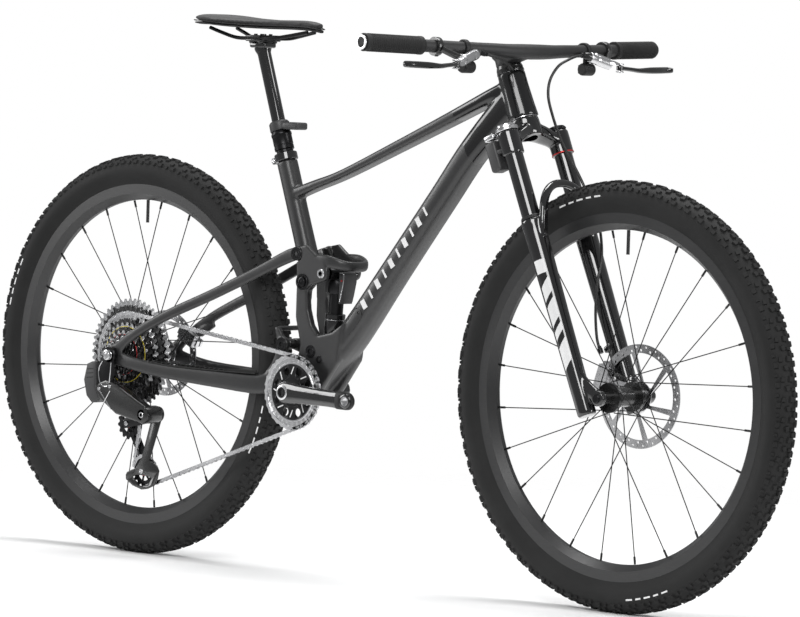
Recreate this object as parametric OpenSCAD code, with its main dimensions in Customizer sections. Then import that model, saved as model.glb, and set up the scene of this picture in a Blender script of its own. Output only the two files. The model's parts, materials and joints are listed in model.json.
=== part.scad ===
// Full-suspension cross-country mountain bike.
// The origin is on the ground, midway between the axles, on the centre plane.
// X points forward, Y to the rider's left, Z up. The drive side is -Y.

/* [Geometry] */
// Distance between the wheel axles
wheelbase = 1170; // [1140:1:1240]
// Outer radius of the tyres, and the height of both axles
wheel_r = 371; // [366:1:378]
// Horizontal distance from the bottom bracket to the rear axle
rear_centre = 437; // [434:1:450]
// Drop of the bottom bracket below the axles
bb_drop = 40; // [30:1:45]
// Head angle from the ground, in degrees
head_angle = 67; // [65:0.5:69]
// Seat tube angle from the ground, in degrees
seat_angle = 71.3; // [70:0.1:73]
// Height of the top of the seat tube above the bottom bracket
seat_tube_h = 413; // [400:1:500]

/* [Fork] */
// Offset of the front axle ahead of the steering axis
fork_offset = 44; // [42:1:46]
// Distance of each stanchion from the centre plane
stanchion_y = 65; // [62:1:70]
// Stanchion radius
stanchion_r = 16; // [14:0.5:17.5]
// Travel of the fork
fork_travel = 110; // [80:1:110]

/* [Cockpit] */
// Overall width of the handlebar
bar_w = 760; // [720:2:800]
// Radius of the handlebar at the grips
bar_r = 11.1; // [11.1:0.1:11.1]
// Radius of the grips
grip_r = 16; // [14:0.5:18]
// Length of the grips
grip_l = 130; // [110:1:140]

/* [Seat] */
// Radius of the dropper post's outer tube
post_r = 15.45; // [13.6:0.05:15.8]
// Drop of the seat post
dropper_travel = 100; // [50:1:100]
// Width of the saddle
saddle_w = 140; // [130:1:155]

/* [Drivetrain] */
// Crank length between the spindle and the pedal axis
crank_l = 165; // [160:1:175]
// Teeth on the chainring
ring_teeth = 32; // [30:2:34]
// Chainline: distance of the chainring from the centre plane
chainline = 53; // [52:0.5:56]

/* [Wheels] */
// Overall width of the tyre
tyre_w = 60; // [55:1:61]
// Outer width of the rim
rim_w = 35; // [30:1:36]
// Number of spokes in each wheel
spoke_count = 24; // [24:4:32]
// Spoke radius
spoke_r = 0.95; // [0.9:0.05:1.2]
// Radius of the front brake rotor
front_rotor_r = 90; // [80:10:90]
// Radius of the rear brake rotor
rear_rotor_r = 80; // [80:10:90]

/* [Clearances] */
// Radial clearance of running and sliding fits
run_fit = 0.06; // [0.02:0.01:0.1]
// Gap between pieces that only lie near each other
near_gap = 0.3; // [0.3:0.1:1]
// Radial clearance at the opened linkage pivots
open_gap = 2.9; // [2.6:0.1:3.2]

/* [Hidden] */
$fn = 48;

// Points of the side view are [x, z].
rear_axle_p = [-wheelbase / 2, wheel_r];
front_axle_p = [wheelbase / 2, wheel_r];
bb = rear_axle_p + [rear_centre, -bb_drop];

// Steering frame: its origin is the point of the steering axis nearest to the front axle,
// local x is forward and square to the axis, and local z runs up the axis.
steer_n = [sin(head_angle), cos(head_angle)];
steer_u = [-cos(head_angle), sin(head_angle)];
steer_o = front_axle_p - fork_offset * steer_n;
head_low = 526;
head_high = 612;
head_r = 24.5;
head_low_r = 27;
steerer_r = 14.3;
steerer_low_r = 19;
bearing_high_r = 20.9;
bearing_low_r = 23.5;
bearing_h = 7;
stanchion_x = 10;
lowers_top = 337;
lowers_r = 20;
crown_low = 455;
front_axle_r = 7.5;
front_drop_y = 55;
front_leg_y = 72;

// Seat tube
seat_dir = [-cos(seat_angle), sin(seat_angle)];
seat_top = bb + [-18, 0] + seat_dir * seat_tube_h / sin(seat_angle) + [76.3, 0];
seat_tube_r = 18;

// Suspension pivots
link_low = bb + [23, 74];
link_rear = bb + [-37, 84];
rocker_p = bb + [9, 199];
rocker_rear = bb + [-8, 249];
shock_top = bb + [55, 216];
shock_low = bb + [45, 61];
strut_in = 20;
strut_out = 34;
rocker_in = 36;
rocker_out = 46;
arm_in = 35;
arm_out = 47;
stay_boss_r = 13;
pin_r = 5;

// Rear end
drop_in = 74;
drop_out = 82;
rear_axle_r = 6;
cog_pitch = 3.6;
cog_teeth = [50, 44, 38, 32, 28, 24, 21, 18, 16, 14, 12, 10];
big_cog_y = 33;
drive_cog = 2;
pulley_teeth = 14;
pulley_y = big_cog_y + drive_cog * cog_pitch;
pulley_up_p = rear_axle_p + [8, -128];
pulley_low_p = rear_axle_p + [51, -214];
knuckle_p = rear_axle_p + [91, -105];
chain_pitch = 12.7;
chain_h = 8;
plate_in = 1.35;
plate_out = 2.65;

// Handlebar: the grips' axis runs from the bend to the tip, here for the left side
bar_mid = on_steer_point(13, 0, 655) + [49, 0, -6];
bar_tip = [bar_mid[0] - 45 * bar_w / 760, bar_w / 2, bar_mid[2] + 9];
bar_bend = [bar_mid[0] - 5, 90, bar_mid[2] + 2];
bar_dir = unit(bar_tip - bar_bend);

function unit(v) = v / norm(v);
function mix(a, b, t) = a + (b - a) * t;
function v3(p, y) = [p[0], y, p[1]];
function on_steer_point(x, y, s) =
    [steer_o[0] + x * steer_n[0] + s * steer_u[0], y, steer_o[1] + x * steer_n[1] + s * steer_u[1]];
function steer_xz(x, s) = steer_o + x * steer_n + s * steer_u;
function pitch_r(teeth) = chain_pitch / 2 / sin(180 / teeth);
function turn2(v, a) = [v[0] * cos(a) - v[1] * sin(a), v[0] * sin(a) + v[1] * cos(a)];
function on_bar(d) = bar_tip - bar_dir * d;

// A lofted tube. Each station is [x, y, z, half width along ref, half height].
function loft_tangent(s, i) = let (a = s[max(i - 1, 0)], b = s[min(i + 1, len(s) - 1)])
    unit([b[0] - a[0], b[1] - a[1], b[2] - a[2]]);
function loft_ring(st, t, ref, sides, power) =
    let (side = unit(ref - (ref * t) * t), up = cross(t, side), e = 2 / power)
    [for (k = [0:sides - 1]) let (a = 360 * k / sides)
        [st[0], st[1], st[2]]
        + side * st[3] * sign(cos(a)) * pow(abs(cos(a)), e)
        + up * st[4] * sign(sin(a)) * pow(abs(sin(a)), e)];
module loft(stations, ref = [0, 1, 0], sides = 16, power = 2.4) {
    rings = [for (i = [0:len(stations) - 1])
        each loft_ring(stations[i], loft_tangent(stations, i), ref, sides, power)];
    last = len(stations) - 1;
    walls = [for (i = [0:last - 1]) for (k = [0:sides - 1])
        let (a = i * sides + k, b = i * sides + (k + 1) % sides)
        [a, a + sides, b + sides, b]];
    caps = [[for (k = [0:sides - 1]) k], [for (k = [sides - 1:-1:0]) last * sides + k]];
    polyhedron(rings, concat(walls, caps), convexity = 6);
}

// A straight rod between two points.
module rod(a, b, r, r2 = -1) {
    d = b - a;
    translate(a)
        rotate([0, acos(d[2] / norm(d)), atan2(d[1], d[0])])
            cylinder(h = norm(d), r1 = r, r2 = r2 < 0 ? r : r2);
}

// A cylinder along Y between y1 and y2 about the side-view point p.
module axle_rod(p, y1, y2, r) {
    translate([p[0], y2, p[1]]) rotate([90, 0, 0]) cylinder(h = y2 - y1, r = r);
}
// A side-view outline given as [x, z] points, extruded from y1 to y2.
module side_plate(y1, y2) {
    translate([0, y2, 0]) rotate([90, 0, 0]) linear_extrude(y2 - y1) children();
}
module both_sides() {
    children();
    mirror([0, 1, 0]) children();
}
module on_steer() {
    translate([steer_o[0], 0, steer_o[1]]) rotate([0, head_angle - 90, 0]) children();
}
// Local z runs outwards along the left grip from the distance d inside the bar's end.
module at_bar(d) {
    p = on_bar(d);
    translate(p) rotate([0, acos(bar_dir[2]), atan2(bar_dir[1], bar_dir[0])]) children();
}
module on_shock() {
    d = shock_top - shock_low;
    translate([shock_low[0], 0, shock_low[1]]) rotate([0, atan2(d[0], d[1]), 0]) children();
}
shock_l = norm(shock_top - shock_low);

// ---------------------------------------------------------------- frame
module seat_tube_shape() {
    foot = rocker_p + [-14, -4];
    loft([
        [each v3(seat_top, 0), 18, 18],
        [each v3(mix(seat_top, foot, 0.35), 0), 18, 18],
        [each v3(mix(seat_top, foot, 0.68), 0), 18, 18],
        [each v3(mix(seat_top, foot, 0.82), 0), 20, 18],
        [each v3(foot, 0), 33, 16],
        [each v3(foot + [2, -26], 0), 34, 13]]);
}
module down_tube_shape() {
    low = bb + [99, 108];
    high = steer_xz(0, 569) + [-95, -97];
    loft([
        [each v3(bb + [8, 14], 0), 34, 22],
        [each v3(bb + [45, 60], 0), 34, 30],
        [each v3(low, 0), 31, 25],
        [each v3(mix(low, high, 0.35), 0), 28, 23],
        [each v3(mix(low, high, 0.75), 0), 27, 22.5],
        [each v3(high, 0), 26, 24],
        [each v3(steer_xz(-6, 566), 0), 22, 30]]);
}
module top_tube_shape() {
    rear = mix(seat_top, rocker_p, 0.31) + [0, 8];
    front = steer_xz(-12, 588);
    loft([
        [each v3(rear, 0), 16, 11],
        [each v3(mix(rear, front, 0.10) + [0, -3], 0), 17, 9.5],
        [each v3(mix(rear, front, 0.24) + [0, -8], 0), 18, 8.5],
        [each v3(mix(rear, front, 0.50) + [0, -6], 0), 18, 10],
        [each v3(mix(rear, front, 0.75) + [0, -3], 0), 20, 11.5],
        [each v3(mix(rear, front, 0.92), 0), 22, 13],
        [each v3(front, 0), 20, 15]]);
}
module strut_shape() {
    side_plate(-strut_out, strut_out) polygon([
        rocker_p + [-26, 12], rocker_p + [10, 8], rocker_p + [1, -20], rocker_p + [3, -48],
        bb + [22, 122], bb + [38, 104], bb + [72, 112], bb + [100, 130], bb + [90, 60],
        bb + [45, 0], bb + [0, -22], bb + [-20, -8], bb + [-22, 12], bb + [-10, 60],
        bb + [-5, 86], rocker_p + [-27, -66], rocker_p + [-27, -20]]);
}
module front_triangle() {
    color("dimgray") difference() {
        union() {
            seat_tube_shape();
            down_tube_shape();
            top_tube_shape();
            strut_shape();
            axle_rod(bb, -36.5, 36.5, 26);
            axle_rod(rocker_p, -strut_out, strut_out, 14);
            on_steer() translate([0, 0, head_low]) cylinder(h = head_high - head_low,
                r1 = head_low_r, r2 = head_r);
            for (t = boss_spots) rod(t[0], t[0] + t[1] * 7, boss_r + 2.5);
        }
        // Bottom bracket bore
        axle_rod(bb, -40, 40, 17.5);
        // Head tube bores and bearing seats
        on_steer() translate([0, 0, head_low - 1]) cylinder(h = 100, r = 20);
        on_steer() translate([0, 0, head_low - 60]) cylinder(h = 60 + bearing_h, r = bearing_low_r);
        on_steer() translate([0, 0, head_high - bearing_h]) cylinder(h = 60, r = bearing_high_r);
        // Seat tube bore
        rod(v3(seat_top - seat_dir * 150, 0), v3(seat_top + seat_dir * 30, 0), post_r + run_fit);
        // Pocket for the shock and the lower link
        side_plate(-strut_in, strut_in) polygon([
            rocker_p + [-40, 17], rocker_p + [60, 17], rocker_p + [70, -30], bb + [100, 160],
            shock_low + [30, 12], shock_low + [14, -16], link_low + [-8, -18],
            bb + [-40, 60], bb + [-50, 120]]);
        // Pivot bores
        axle_rod(rocker_p, -strut_out - 1, strut_out + 1, pin_r);
        axle_rod(link_low, -strut_out - 9, strut_out + 9, pin_r);
        axle_rod(shock_low, -strut_out - 9, strut_out + 9, pin_r);
        // Room for the lower link's wide rear block
        side_plate(-strut_out - 9, strut_out + 9) polygon([
            link_rear + [-20, 24], link_rear + [12, 30], link_rear + [20, 0],
            link_rear + [12, -24], link_rear + [-20, -24]]);
        // Accessory bosses under the top tube and bottle bosses on the down tube
        for (t = boss_spots) rod(t[0] - t[1] * 5, t[0] + t[1] * boss_depth, boss_r);
    }
}
boss_r = 2.5;
boss_depth = 9;
tt_rear = mix(seat_top, rocker_p, 0.31) + [0, 8];
tt_front = steer_xz(-12, 588);
tt_up = let (d = unit(tt_front - tt_rear)) [-d[1], 0, d[0]];
dt_low = bb + [99, 108];
dt_high = steer_xz(0, 569) + [-95, -97];
dt_in = let (d = unit(dt_high - dt_low)) [d[1], 0, -d[0]];
boss_spots = [
    [v3(mix(tt_rear, tt_front, 0.13) + [0, -4.5], 0) - tt_up * 10.5, tt_up],
    [v3(mix(tt_rear, tt_front, 0.22) + [0, -7.5], 0) - tt_up * 10, tt_up],
    [v3(mix(dt_low, dt_high, 0.30), 0) - dt_in * 24.5, dt_in],
    [v3(mix(dt_low, dt_high, 0.30) + (dt_high - dt_low) / norm(dt_high - dt_low) * 64, 0)
        - dt_in * 24.5, dt_in]];

module headset_bearings() {
    color("silver") on_steer() {
        translate([0, 0, head_low]) difference() {
            cylinder(h = bearing_h - 0.1, r = bearing_low_r);
            translate([0, 0, -1]) cylinder(h = 20, r = steerer_low_r + run_fit);
        }
        translate([0, 0, head_high - bearing_h + 0.1]) difference() {
            cylinder(h = bearing_h - 0.2, r = bearing_high_r);
            translate([0, 0, -1]) cylinder(h = 20, r = steerer_r + run_fit);
        }
    }
}
module bottom_bracket() {
    color("black") both_sides() difference() {
        union() {
            axle_rod(bb, 37, 44, 22);
            axle_rod(bb, 14, 37, 17.5);
        }
        axle_rod(bb, 0, 50, spindle_r + run_fit);
    }
}
spindle_r = 14;
module frame_bolts() {
    color("black") {
        axle_rod(rocker_p, -rocker_out - 1.5, rocker_out + 1.5, pin_r - run_fit);
        both_sides() axle_rod(rocker_p, rocker_out + 0.1, rocker_out + 2.5, 9);
        axle_rod(link_low, -strut_out + 1, strut_out - 1, pin_r - run_fit);
        axle_rod(shock_low, -strut_out + 1, strut_out - 1, pin_r - run_fit);
    }
}
module seat_clamp() {
    color("black") difference() {
        union() {
            rod(v3(seat_top + seat_dir * 0.1, 0), v3(seat_top + seat_dir * 14, 0), seat_tube_r + 3);
            translate(v3(seat_top + seat_dir * 7, 0)) rotate([0, seat_angle - 90, 0])
                translate([-31, -8, -6]) cube([14, 16, 12]);
        }
        rod(v3(seat_top - seat_dir * 4, 0), v3(seat_top + seat_dir * 20, 0), post_r + run_fit);
        translate(v3(seat_top + seat_dir * 7, 0)) rotate([0, seat_angle - 90, 0])
            translate([-40, -1, -20]) cube([40, 2, 40]);
        translate(v3(seat_top + seat_dir * 7, 0)) rotate([0, seat_angle - 90, 0])
            translate([-24.5, 20, 0]) rotate([90, 0, 0]) cylinder(h = 40, r = 2.6);
    }
    color("silver") translate(v3(seat_top + seat_dir * 7, 0))
        rotate([0, seat_angle - 90, 0]) translate([-24.5, 0, 0]) rotate([90, 0, 0]) {
            translate([0, 0, -10]) cylinder(h = 20, r = 2.5);
            translate([0, 0, 8.1]) cylinder(h = 5, r = 4.2);
        }
}

// ---------------------------------------------------------------- seat post and saddle
post_inner_r = 12.4;
collar_low = 20;
collar_high = 62;
module dropper_outer() {
    color("black") difference() {
        union() {
            rod(v3(seat_top - seat_dir * 149, 0), v3(seat_top + seat_dir * collar_low, 0), post_r);
            rod(v3(seat_top + seat_dir * collar_low, 0), v3(seat_top + seat_dir * 47, 0), 18);
            rod(v3(seat_top + seat_dir * 47, 0), v3(seat_top + seat_dir * collar_high, 0), 19, 15);
        }
        rod(v3(seat_top - seat_dir * 145, 0), v3(seat_top + seat_dir * 80, 0),
            post_inner_r + run_fit);
    }
}
module dropper_battery() {
    color("dimgray") difference() {
        translate(v3(seat_top + seat_dir * 60, 0)) translate([-2, -15, 0])
            cube([58, 30, 14]);
        rod(v3(seat_top - seat_dir * 10, 0), v3(seat_top + seat_dir * 120, 0), 19.3);
    }
}
post_top = seat_top + seat_dir * 205;
module dropper_post() {
    color("black") rod(v3(seat_top - seat_dir * 40, 0), v3(post_top, 0), post_inner_r);
    color("black") rod(v3(post_top, 0), v3(post_top + seat_dir * 12, 0), post_inner_r, 16);
    color("black") translate(v3(post_top + seat_dir * 12, 0)) translate([-20, -17, -3])
        cube([40, 34, 12]);
}
rail_z = post_top[1] + seat_dir[1] * 12 + 15;
rail_y = 22;
rail_r = 3.5;
clamp_x = post_top[0] + seat_dir[0] * 12;
module saddle_clamp() {
    color("black") difference() {
        union() {
            both_sides() translate([clamp_x - 18, rail_y - 7, rail_z - 5.8]) cube([36, 14, 4.6]);
            both_sides() translate([clamp_x - 18, rail_y - 7, rail_z + 1.2]) cube([36, 14, 4.6]);
            translate([clamp_x - 18, -rail_y + 7.1, rail_z + 1.2]) cube([36, 2 * rail_y - 14.2, 4.6]);
        }
        both_sides() rod([clamp_x - 30, rail_y, rail_z], [clamp_x + 30, rail_y, rail_z],
            rail_r + run_fit);
    }
}
saddle_tail = [clamp_x - 135, rail_z + 34];
saddle_nose = [clamp_x + 145, rail_z + 22];
module saddle_rails() {
    color("dimgray") both_sides() {
        rod([clamp_x - 42, rail_y, rail_z], [clamp_x + 42, rail_y, rail_z], rail_r);
        rod([clamp_x + 42, rail_y, rail_z], [saddle_nose[0] - 30, 10, saddle_nose[1] - 14.5], rail_r);
        rod([clamp_x - 42, rail_y, rail_z], [saddle_tail[0] + 38, 34, saddle_tail[1] - 16.5], rail_r);
        translate([clamp_x + 42, rail_y, rail_z]) sphere(r = rail_r);
        translate([clamp_x - 42, rail_y, rail_z]) sphere(r = rail_r);
    }
}
// Stations of the saddle: [share of its length from the tail, half width share, height above rails]
saddle_plan = [[0.00, 0.62, 34], [0.05, 0.90, 35], [0.15, 1.00, 34], [0.30, 0.92, 31],
    [0.45, 0.62, 29], [0.60, 0.38, 28.5], [0.80, 0.27, 28.5], [0.94, 0.24, 27], [1.00, 0.16, 24]];
module saddle_loft(lift, thick, side) {
    loft([for (s = saddle_plan)
        [mix(saddle_tail[0], saddle_nose[0], s[0]), 0, rail_z + s[2] + lift,
            max(s[1] * saddle_w / 2 - side, 6), thick]], power = 3);
}
module saddle_shell() {
    color("black") saddle_loft(-11, 2.6, 4);
}
module saddle_cover() {
    color([0.08, 0.08, 0.08]) saddle_loft(0, 7.9, 0);
}

// ---------------------------------------------------------------- fork and cockpit
module fork_crown() {
    color("black") on_steer() difference() {
        union() {
            loft([[stanchion_x, -stanchion_y, 480, 17, 15], [7, -45, 488, 15, 10],
                [3, -24, 500, 22, 12], [0, 0, 502, 25, 13], [3, 24, 500, 22, 12],
                [7, 45, 488, 15, 10], [stanchion_x, stanchion_y, 480, 17, 15]], ref = [1, 0, 0]);
            translate([0, 0, 490]) cylinder(h = head_low - 0.4 - 490, r = 25);
            translate([0, 0, 500]) cylinder(h = 60, r = steerer_low_r);
            translate([0, 0, 560]) cylinder(h = 20, r1 = steerer_low_r, r2 = steerer_r);
            translate([0, 0, 580]) cylinder(h = 72, r = steerer_r);
            both_sides() translate([stanchion_x, stanchion_y, crown_low]) cylinder(h = 44, r = 19.5);
        }
        translate([0, 0, -10]) cylinder(h = 20, r = 5);
        translate([0, 0, 470]) cylinder(h = 90, r = 15.5);
        translate([0, 0, 470]) cylinder(h = 200, r = 12);
        both_sides() translate([stanchion_x, stanchion_y, crown_low - 5])
            cylinder(h = 40, r = stanchion_r);
    }
}
module stanchions() {
    color([0.05, 0.05, 0.05]) on_steer() both_sides()
        translate([stanchion_x, stanchion_y, 215]) difference() {
            cylinder(h = crown_low + 34.9 - 215, r = stanchion_r);
            translate([0, 0, -1]) cylinder(h = crown_low + 40 - 215, r = stanchion_r - 3);
        }
}
module fork_control() {
    color("silver") on_steer() translate([stanchion_x, -stanchion_y, crown_low + 44.1]) {
        cylinder(h = 7, r = 20.5);
        translate([0, 0, 7]) cylinder(h = 5, r1 = 17, r2 = 14);
    }
    color("black") on_steer() difference() {
        translate([stanchion_x - 48, -stanchion_y - 15, crown_low - 16]) cube([24, 30, 54]);
        translate([stanchion_x, -stanchion_y, 400]) cylinder(h = 200, r = 19.8);
    }
    color("silver") on_steer() difference() {
        translate([stanchion_x - 48, -stanchion_y - 13, crown_low + 38.2]) cube([28, 26, 12.9]);
        translate([stanchion_x, -stanchion_y, 400]) cylinder(h = 99.1, r = 20.5);
    }
}
module headset_cover() {
    color("black") on_steer() difference() {
        translate([0, 0, head_high + 0.5]) cylinder(h = 13.4, r1 = head_r, r2 = 22);
        translate([0, 0, 400]) cylinder(h = 300, r = steerer_r + near_gap);
    }
}
module cockpit() {
    clamp = on_steer_point(0, 0, 643);
    flare = bar_mid + [0, 0, 0];
    color([0.13, 0.13, 0.13]) difference() {
        union() {
            loft([[clamp[0] - 22, 0, clamp[2] + 3, 14, 8], [clamp[0] - 10, 0, clamp[2] + 2, 20, 13],
                [clamp[0] + 12, 0, clamp[2] + 3, 21, 15], [mix(clamp, flare, 0.6)[0], 0,
                mix(clamp, flare, 0.6)[2] + 2, 20, 13], [flare[0] + 6, 0, flare[2], 24, 12]]);
            loft([[each mirror_y(bar_bend), 11.5, 11.5], [bar_mid[0] - 1, -40, bar_mid[2], 15, 13],
                [each bar_mid, 17, 14], [bar_mid[0] - 1, 40, bar_mid[2], 15, 13],
                [each bar_bend, 11.5, 11.5]], ref = [1, 0, 0]);
            both_sides() rod(bar_bend, bar_tip, bar_r);
            on_steer() translate([0, 0, head_high + 14]) cylinder(h = 30, r1 = 22, r2 = 20);
        }
        on_steer() translate([0, 0, head_high - 5]) cylinder(h = 45, r = steerer_r + run_fit);
        both_sides() rod(on_bar(260), bar_tip + bar_dir * 5, bar_r - 2.2);
    }
}
function mirror_y(p) = [p[0], -p[1], p[2]];
module grips() {
    color([0.1, 0.1, 0.1]) both_sides() at_bar(grip_l) difference() {
        union() {
            cylinder(h = grip_l - 3, r = grip_r - 0.8);
            cylinder(h = 9, r = grip_r);
        }
        translate([0, 0, -1]) cylinder(h = grip_l + 5, r = bar_r + 0.05);
    }
}
module bar_plugs() {
    color("silver") both_sides() at_bar(0) {
        translate([0, 0, -12]) cylinder(h = 12, r = bar_r - 2.3);
        translate([0, 0, 0.1]) cylinder(h = 1.9, r = 13);
    }
}
brake_at = 163;
// Ends of the left brake's master cylinder and the pivot of its lever
master_in = on_bar(brake_at + 70) + [20, 0, -10];
master_out = on_bar(brake_at + 14) + [38, 0, -27];
lever_pivot = master_out + [4, 11, -2];
module brake_bodies() {
    both_sides() {
        color("black") difference() {
            union() {
                at_bar(brake_at) translate([0, 0, -6]) cylinder(h = 12, r = bar_r + 5);
                rod(on_bar(brake_at), mix(master_in, master_out, 0.62), 7);
            }
            at_bar(brake_at + 30) cylinder(h = 60, r = bar_r + 0.05);
        }
        color("silver") difference() {
            union() {
                rod(master_in, master_out, 9.5, 8);
                rod(mix(master_in, master_out, 0.9), lever_pivot + [0, 0, 0], 6.5);
                translate(lever_pivot - [0, 0, 8]) cylinder(h = 16, r = 7);
            }
            translate(lever_pivot - [0, 0, 5.2]) cylinder(h = 10.4, r = 30);
            translate(lever_pivot - [0, 0, 20]) cylinder(h = 40, r = 2.5 + run_fit);
            rod(on_bar(brake_at), mix(master_in, master_out, 0.62), 7);
            at_bar(brake_at + 30) cylinder(h = 60, r = bar_r + 5.1);
        }
        color("black") rod(master_in + (master_in - master_out) * 0.22, master_in, 6, 8);
    }
}
module lever_shape() {
    tip = on_bar(40) + [62, 0, -34];
    bend = on_bar(brake_at - 42) + [56, 0, -34];
    color([0.06, 0.06, 0.06]) {
        translate(lever_pivot - [0, 0, 4]) cylinder(h = 8, r = 6.5);
        translate(lever_pivot - [0, 0, 8]) cylinder(h = 16, r = 2.5);
        loft([[each lever_pivot, 6, 4], [each mix(lever_pivot, bend, 0.5), 6, 4],
            [each bend, 6, 4.5], [each mix(bend, tip, 0.5) + [3, 0, 0], 5, 6],
            [each tip, 5, 6], [each tip + [9, 8, 0], 4, 5]], ref = [1, 0, 0], sides = 12);
    }
}
module brake_lever_left() {
    lever_shape();
}
module brake_lever_right() {
    mirror([0, 1, 0]) lever_shape();
}
pod_c = on_bar(226) + [8, 0, -32];
module shift_pods() {
    color([0.1, 0.1, 0.1]) both_sides() difference() {
        union() {
            rod(pod_c + [0, -14, 0], pod_c + [0, 14, 0], 11);
            rod(pod_c, on_bar(226), 6);
            at_bar(230) cylinder(h = 10, r = bar_r + 4);
        }
        at_bar(260) cylinder(h = 80, r = bar_r + 0.05);
        translate(pod_c + [-30, -9.5, -30]) cube([24.5, 19, 60]);
    }
}
module pod_button_shape() {
    color([0.16, 0.16, 0.16]) translate(pod_c + [-13.5, -9.2, -8]) cube([5.4, 18.4, 16]);
}
module pod_button_left() {
    pod_button_shape();
}
module pod_button_right() {
    mirror([0, 1, 0]) pod_button_shape();
}
// Hose points follow a hand-laid route.
module hose(points, r = 2.5) {
    color([0.05, 0.05, 0.05]) loft([for (p = points) [each p, r, r]], ref = [0.3, 0.5, 0.81],
        sides = 12, power = 2);
}
rear_hose_pts = [[354, -134.6, 952], [361, -118, 948], [364, -95, 942], [358, -68, 933],
    [345, -44, 926], [331, -29, 925], [318, -20, 927]];
module rear_hose() {
    hose(rear_hose_pts);
}
front_hose_pts = [[354, 134.6, 952], [361, 120, 952], [367, 100, 950], [369, 78, 944],
    [366, 55, 932], [363, 38, 908], [366, 31, 880], [375, 33, 848], [386, 39, 815],
    [399, 46, 785], [420, 54, 748], [439, 58, 715], [458, 60, 685], [471, 60, 645],
    [482, 52, 603], [484, 41, 565], [484, 38, 530], [485, 38, 495], [490, 38, 462], [500, 38, 440]];
module front_hose() {
    hose(front_hose_pts);
}
module lower_leg() {
    translate([stanchion_x, stanchion_y, -20]) cylinder(h = lowers_top + 20, r1 = 16.5, r2 = lowers_r);
    hull() {
        translate([fork_offset, 71.5, 0]) rotate([90, 0, 0]) cylinder(h = 16, r = 14, $fn = 32);
        translate([stanchion_x, 71.5, 62]) rotate([90, 0, 0]) cylinder(h = 14, r = 12, $fn = 32);
        translate([stanchion_x + 2, 71.5, -2]) rotate([90, 0, 0]) cylinder(h = 14, r = 14, $fn = 32);
    }
}
module fork_lowers() {
    color([0.04, 0.04, 0.04]) on_steer() difference() {
        union() {
            both_sides() lower_leg();
            loft([[27, -65, 306, 6, 9], [37, -62, 342, 6, 8], [40, -48, 374, 6, 8],
                [40, -22, 390, 6, 7.5], [40, 0, 393, 6, 7], [40, 22, 390, 6, 7.5],
                [40, 48, 374, 6, 8], [37, 62, 342, 6, 8], [27, 65, 306, 6, 9]], ref = [1, 0, 0]);
            // Post mounts of the front caliper
            for (s = [52, 96])
                translate([-8.5, 46, s]) cube([20, 14, 12]);
        }
        both_sides() translate([stanchion_x, stanchion_y, 90])
            cylinder(h = 400, r = stanchion_r + run_fit);
        translate([fork_offset, 80, 0]) rotate([90, 0, 0]) cylinder(h = 160, r = front_axle_r + run_fit);
        // The hub sits between the dropouts
        translate([fork_offset, front_drop_y, 0]) rotate([90, 0, 0])
            cylinder(h = 2 * front_drop_y, r = 24);
        translate([0, -45, -60]) cube([200, 90, 300]);
    }
}
module fork_seals() {
    color([0.08, 0.08, 0.08]) on_steer() both_sides()
        translate([stanchion_x, stanchion_y, lowers_top + 0.1]) difference() {
            cylinder(h = 6, r1 = 19, r2 = 17.6);
            translate([0, 0, -1]) cylinder(h = 10, r = stanchion_r + run_fit);
        }
}
module front_axle() {
    color("black") translate([front_axle_p[0], 0, front_axle_p[1]]) rotate([90, 0, 0]) {
        translate([0, 0, -72]) cylinder(h = 146, r = front_axle_r);
        translate([0, 0, 72.2]) cylinder(h = 3, r = 10);
    }
}
module caliper(len = 44) {
    difference() {
        union() {
            translate([-12, -13, -len / 2]) cube([24, 26, len]);
            translate([-7, -9, -len / 2 - 7]) cube([14, 18, len + 14]);
        }
        translate([-30, -1.6, -60]) cube([60, 3.2, 120]);
    }
}
front_rotor_y = 43.5;
rear_rotor_y = 57;
module front_caliper() {
    color("silver") difference() {
        on_steer() translate([fork_offset, front_rotor_y, 0]) rotate([0, -48, 0])
            translate([0, 0, front_rotor_r - 7]) rotate([0, 90, 0]) translate([0, 0, 0]) caliper();
        on_steer() translate([-9, 45.2, 20]) cube([80, 40, 100]);
    }
}

// ---------------------------------------------------------------- wheels
module ring_about(p) {
    translate([p[0], 0, p[1]]) rotate([90, 0, 0]) children();
}
rim_out = 316;
module tyre_profile() {
    c = wheel_r - tyre_w / 2;
    difference() {
        union() {
            intersection() {
                translate([c, 0]) circle(r = tyre_w / 2, $fn = 64);
                translate([rim_out + 3, -50]) square([100, 100]);
            }
            for (s = [-1, 1]) polygon([[rim_out + 4, s * 21], [rim_out + 0.5, s * 16.9],
                [rim_out + 0.5, s * 14.2], [309.3, s * 14.2], [309.3, s * 10], [rim_out + 4, s * 11]]);
        }
        translate([c, 0]) circle(r = tyre_w / 2 - 3.2, $fn = 64);
        translate([300, -10]) square([40, 20]);
    }
}
module rim_profile() {
    w = rim_w / 2;
    difference() {
        polygon([[287, -4], [287, 4], [298, w], [rim_out, w], [rim_out, w - 3], [309, w - 3],
            [304, 7], [304, -7], [309, -w + 3], [rim_out, -w + 3], [rim_out, -w], [298, -w]]);
        polygon([[291, -2.5], [291, 2.5], [299.5, w - 3.5], [304, w - 5], [301, 6], [301, -6],
            [304, -w + 5], [299.5, -w + 3.5]]);
    }
}
module tyre(p) {
    color([0.07, 0.07, 0.07]) ring_about(p) rotate_extrude($fn = 96) tyre_profile();
}
module rim(p, valve_angle) {
    color([0.15, 0.15, 0.16]) ring_about(p) rotate_extrude($fn = 96) rim_profile();
    color("black") ring_about(p) rotate([0, 0, valve_angle]) translate([286.5, 0, 0])
        rotate([0, -90, 0]) cylinder(h = 42, r = 3);
}
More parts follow.
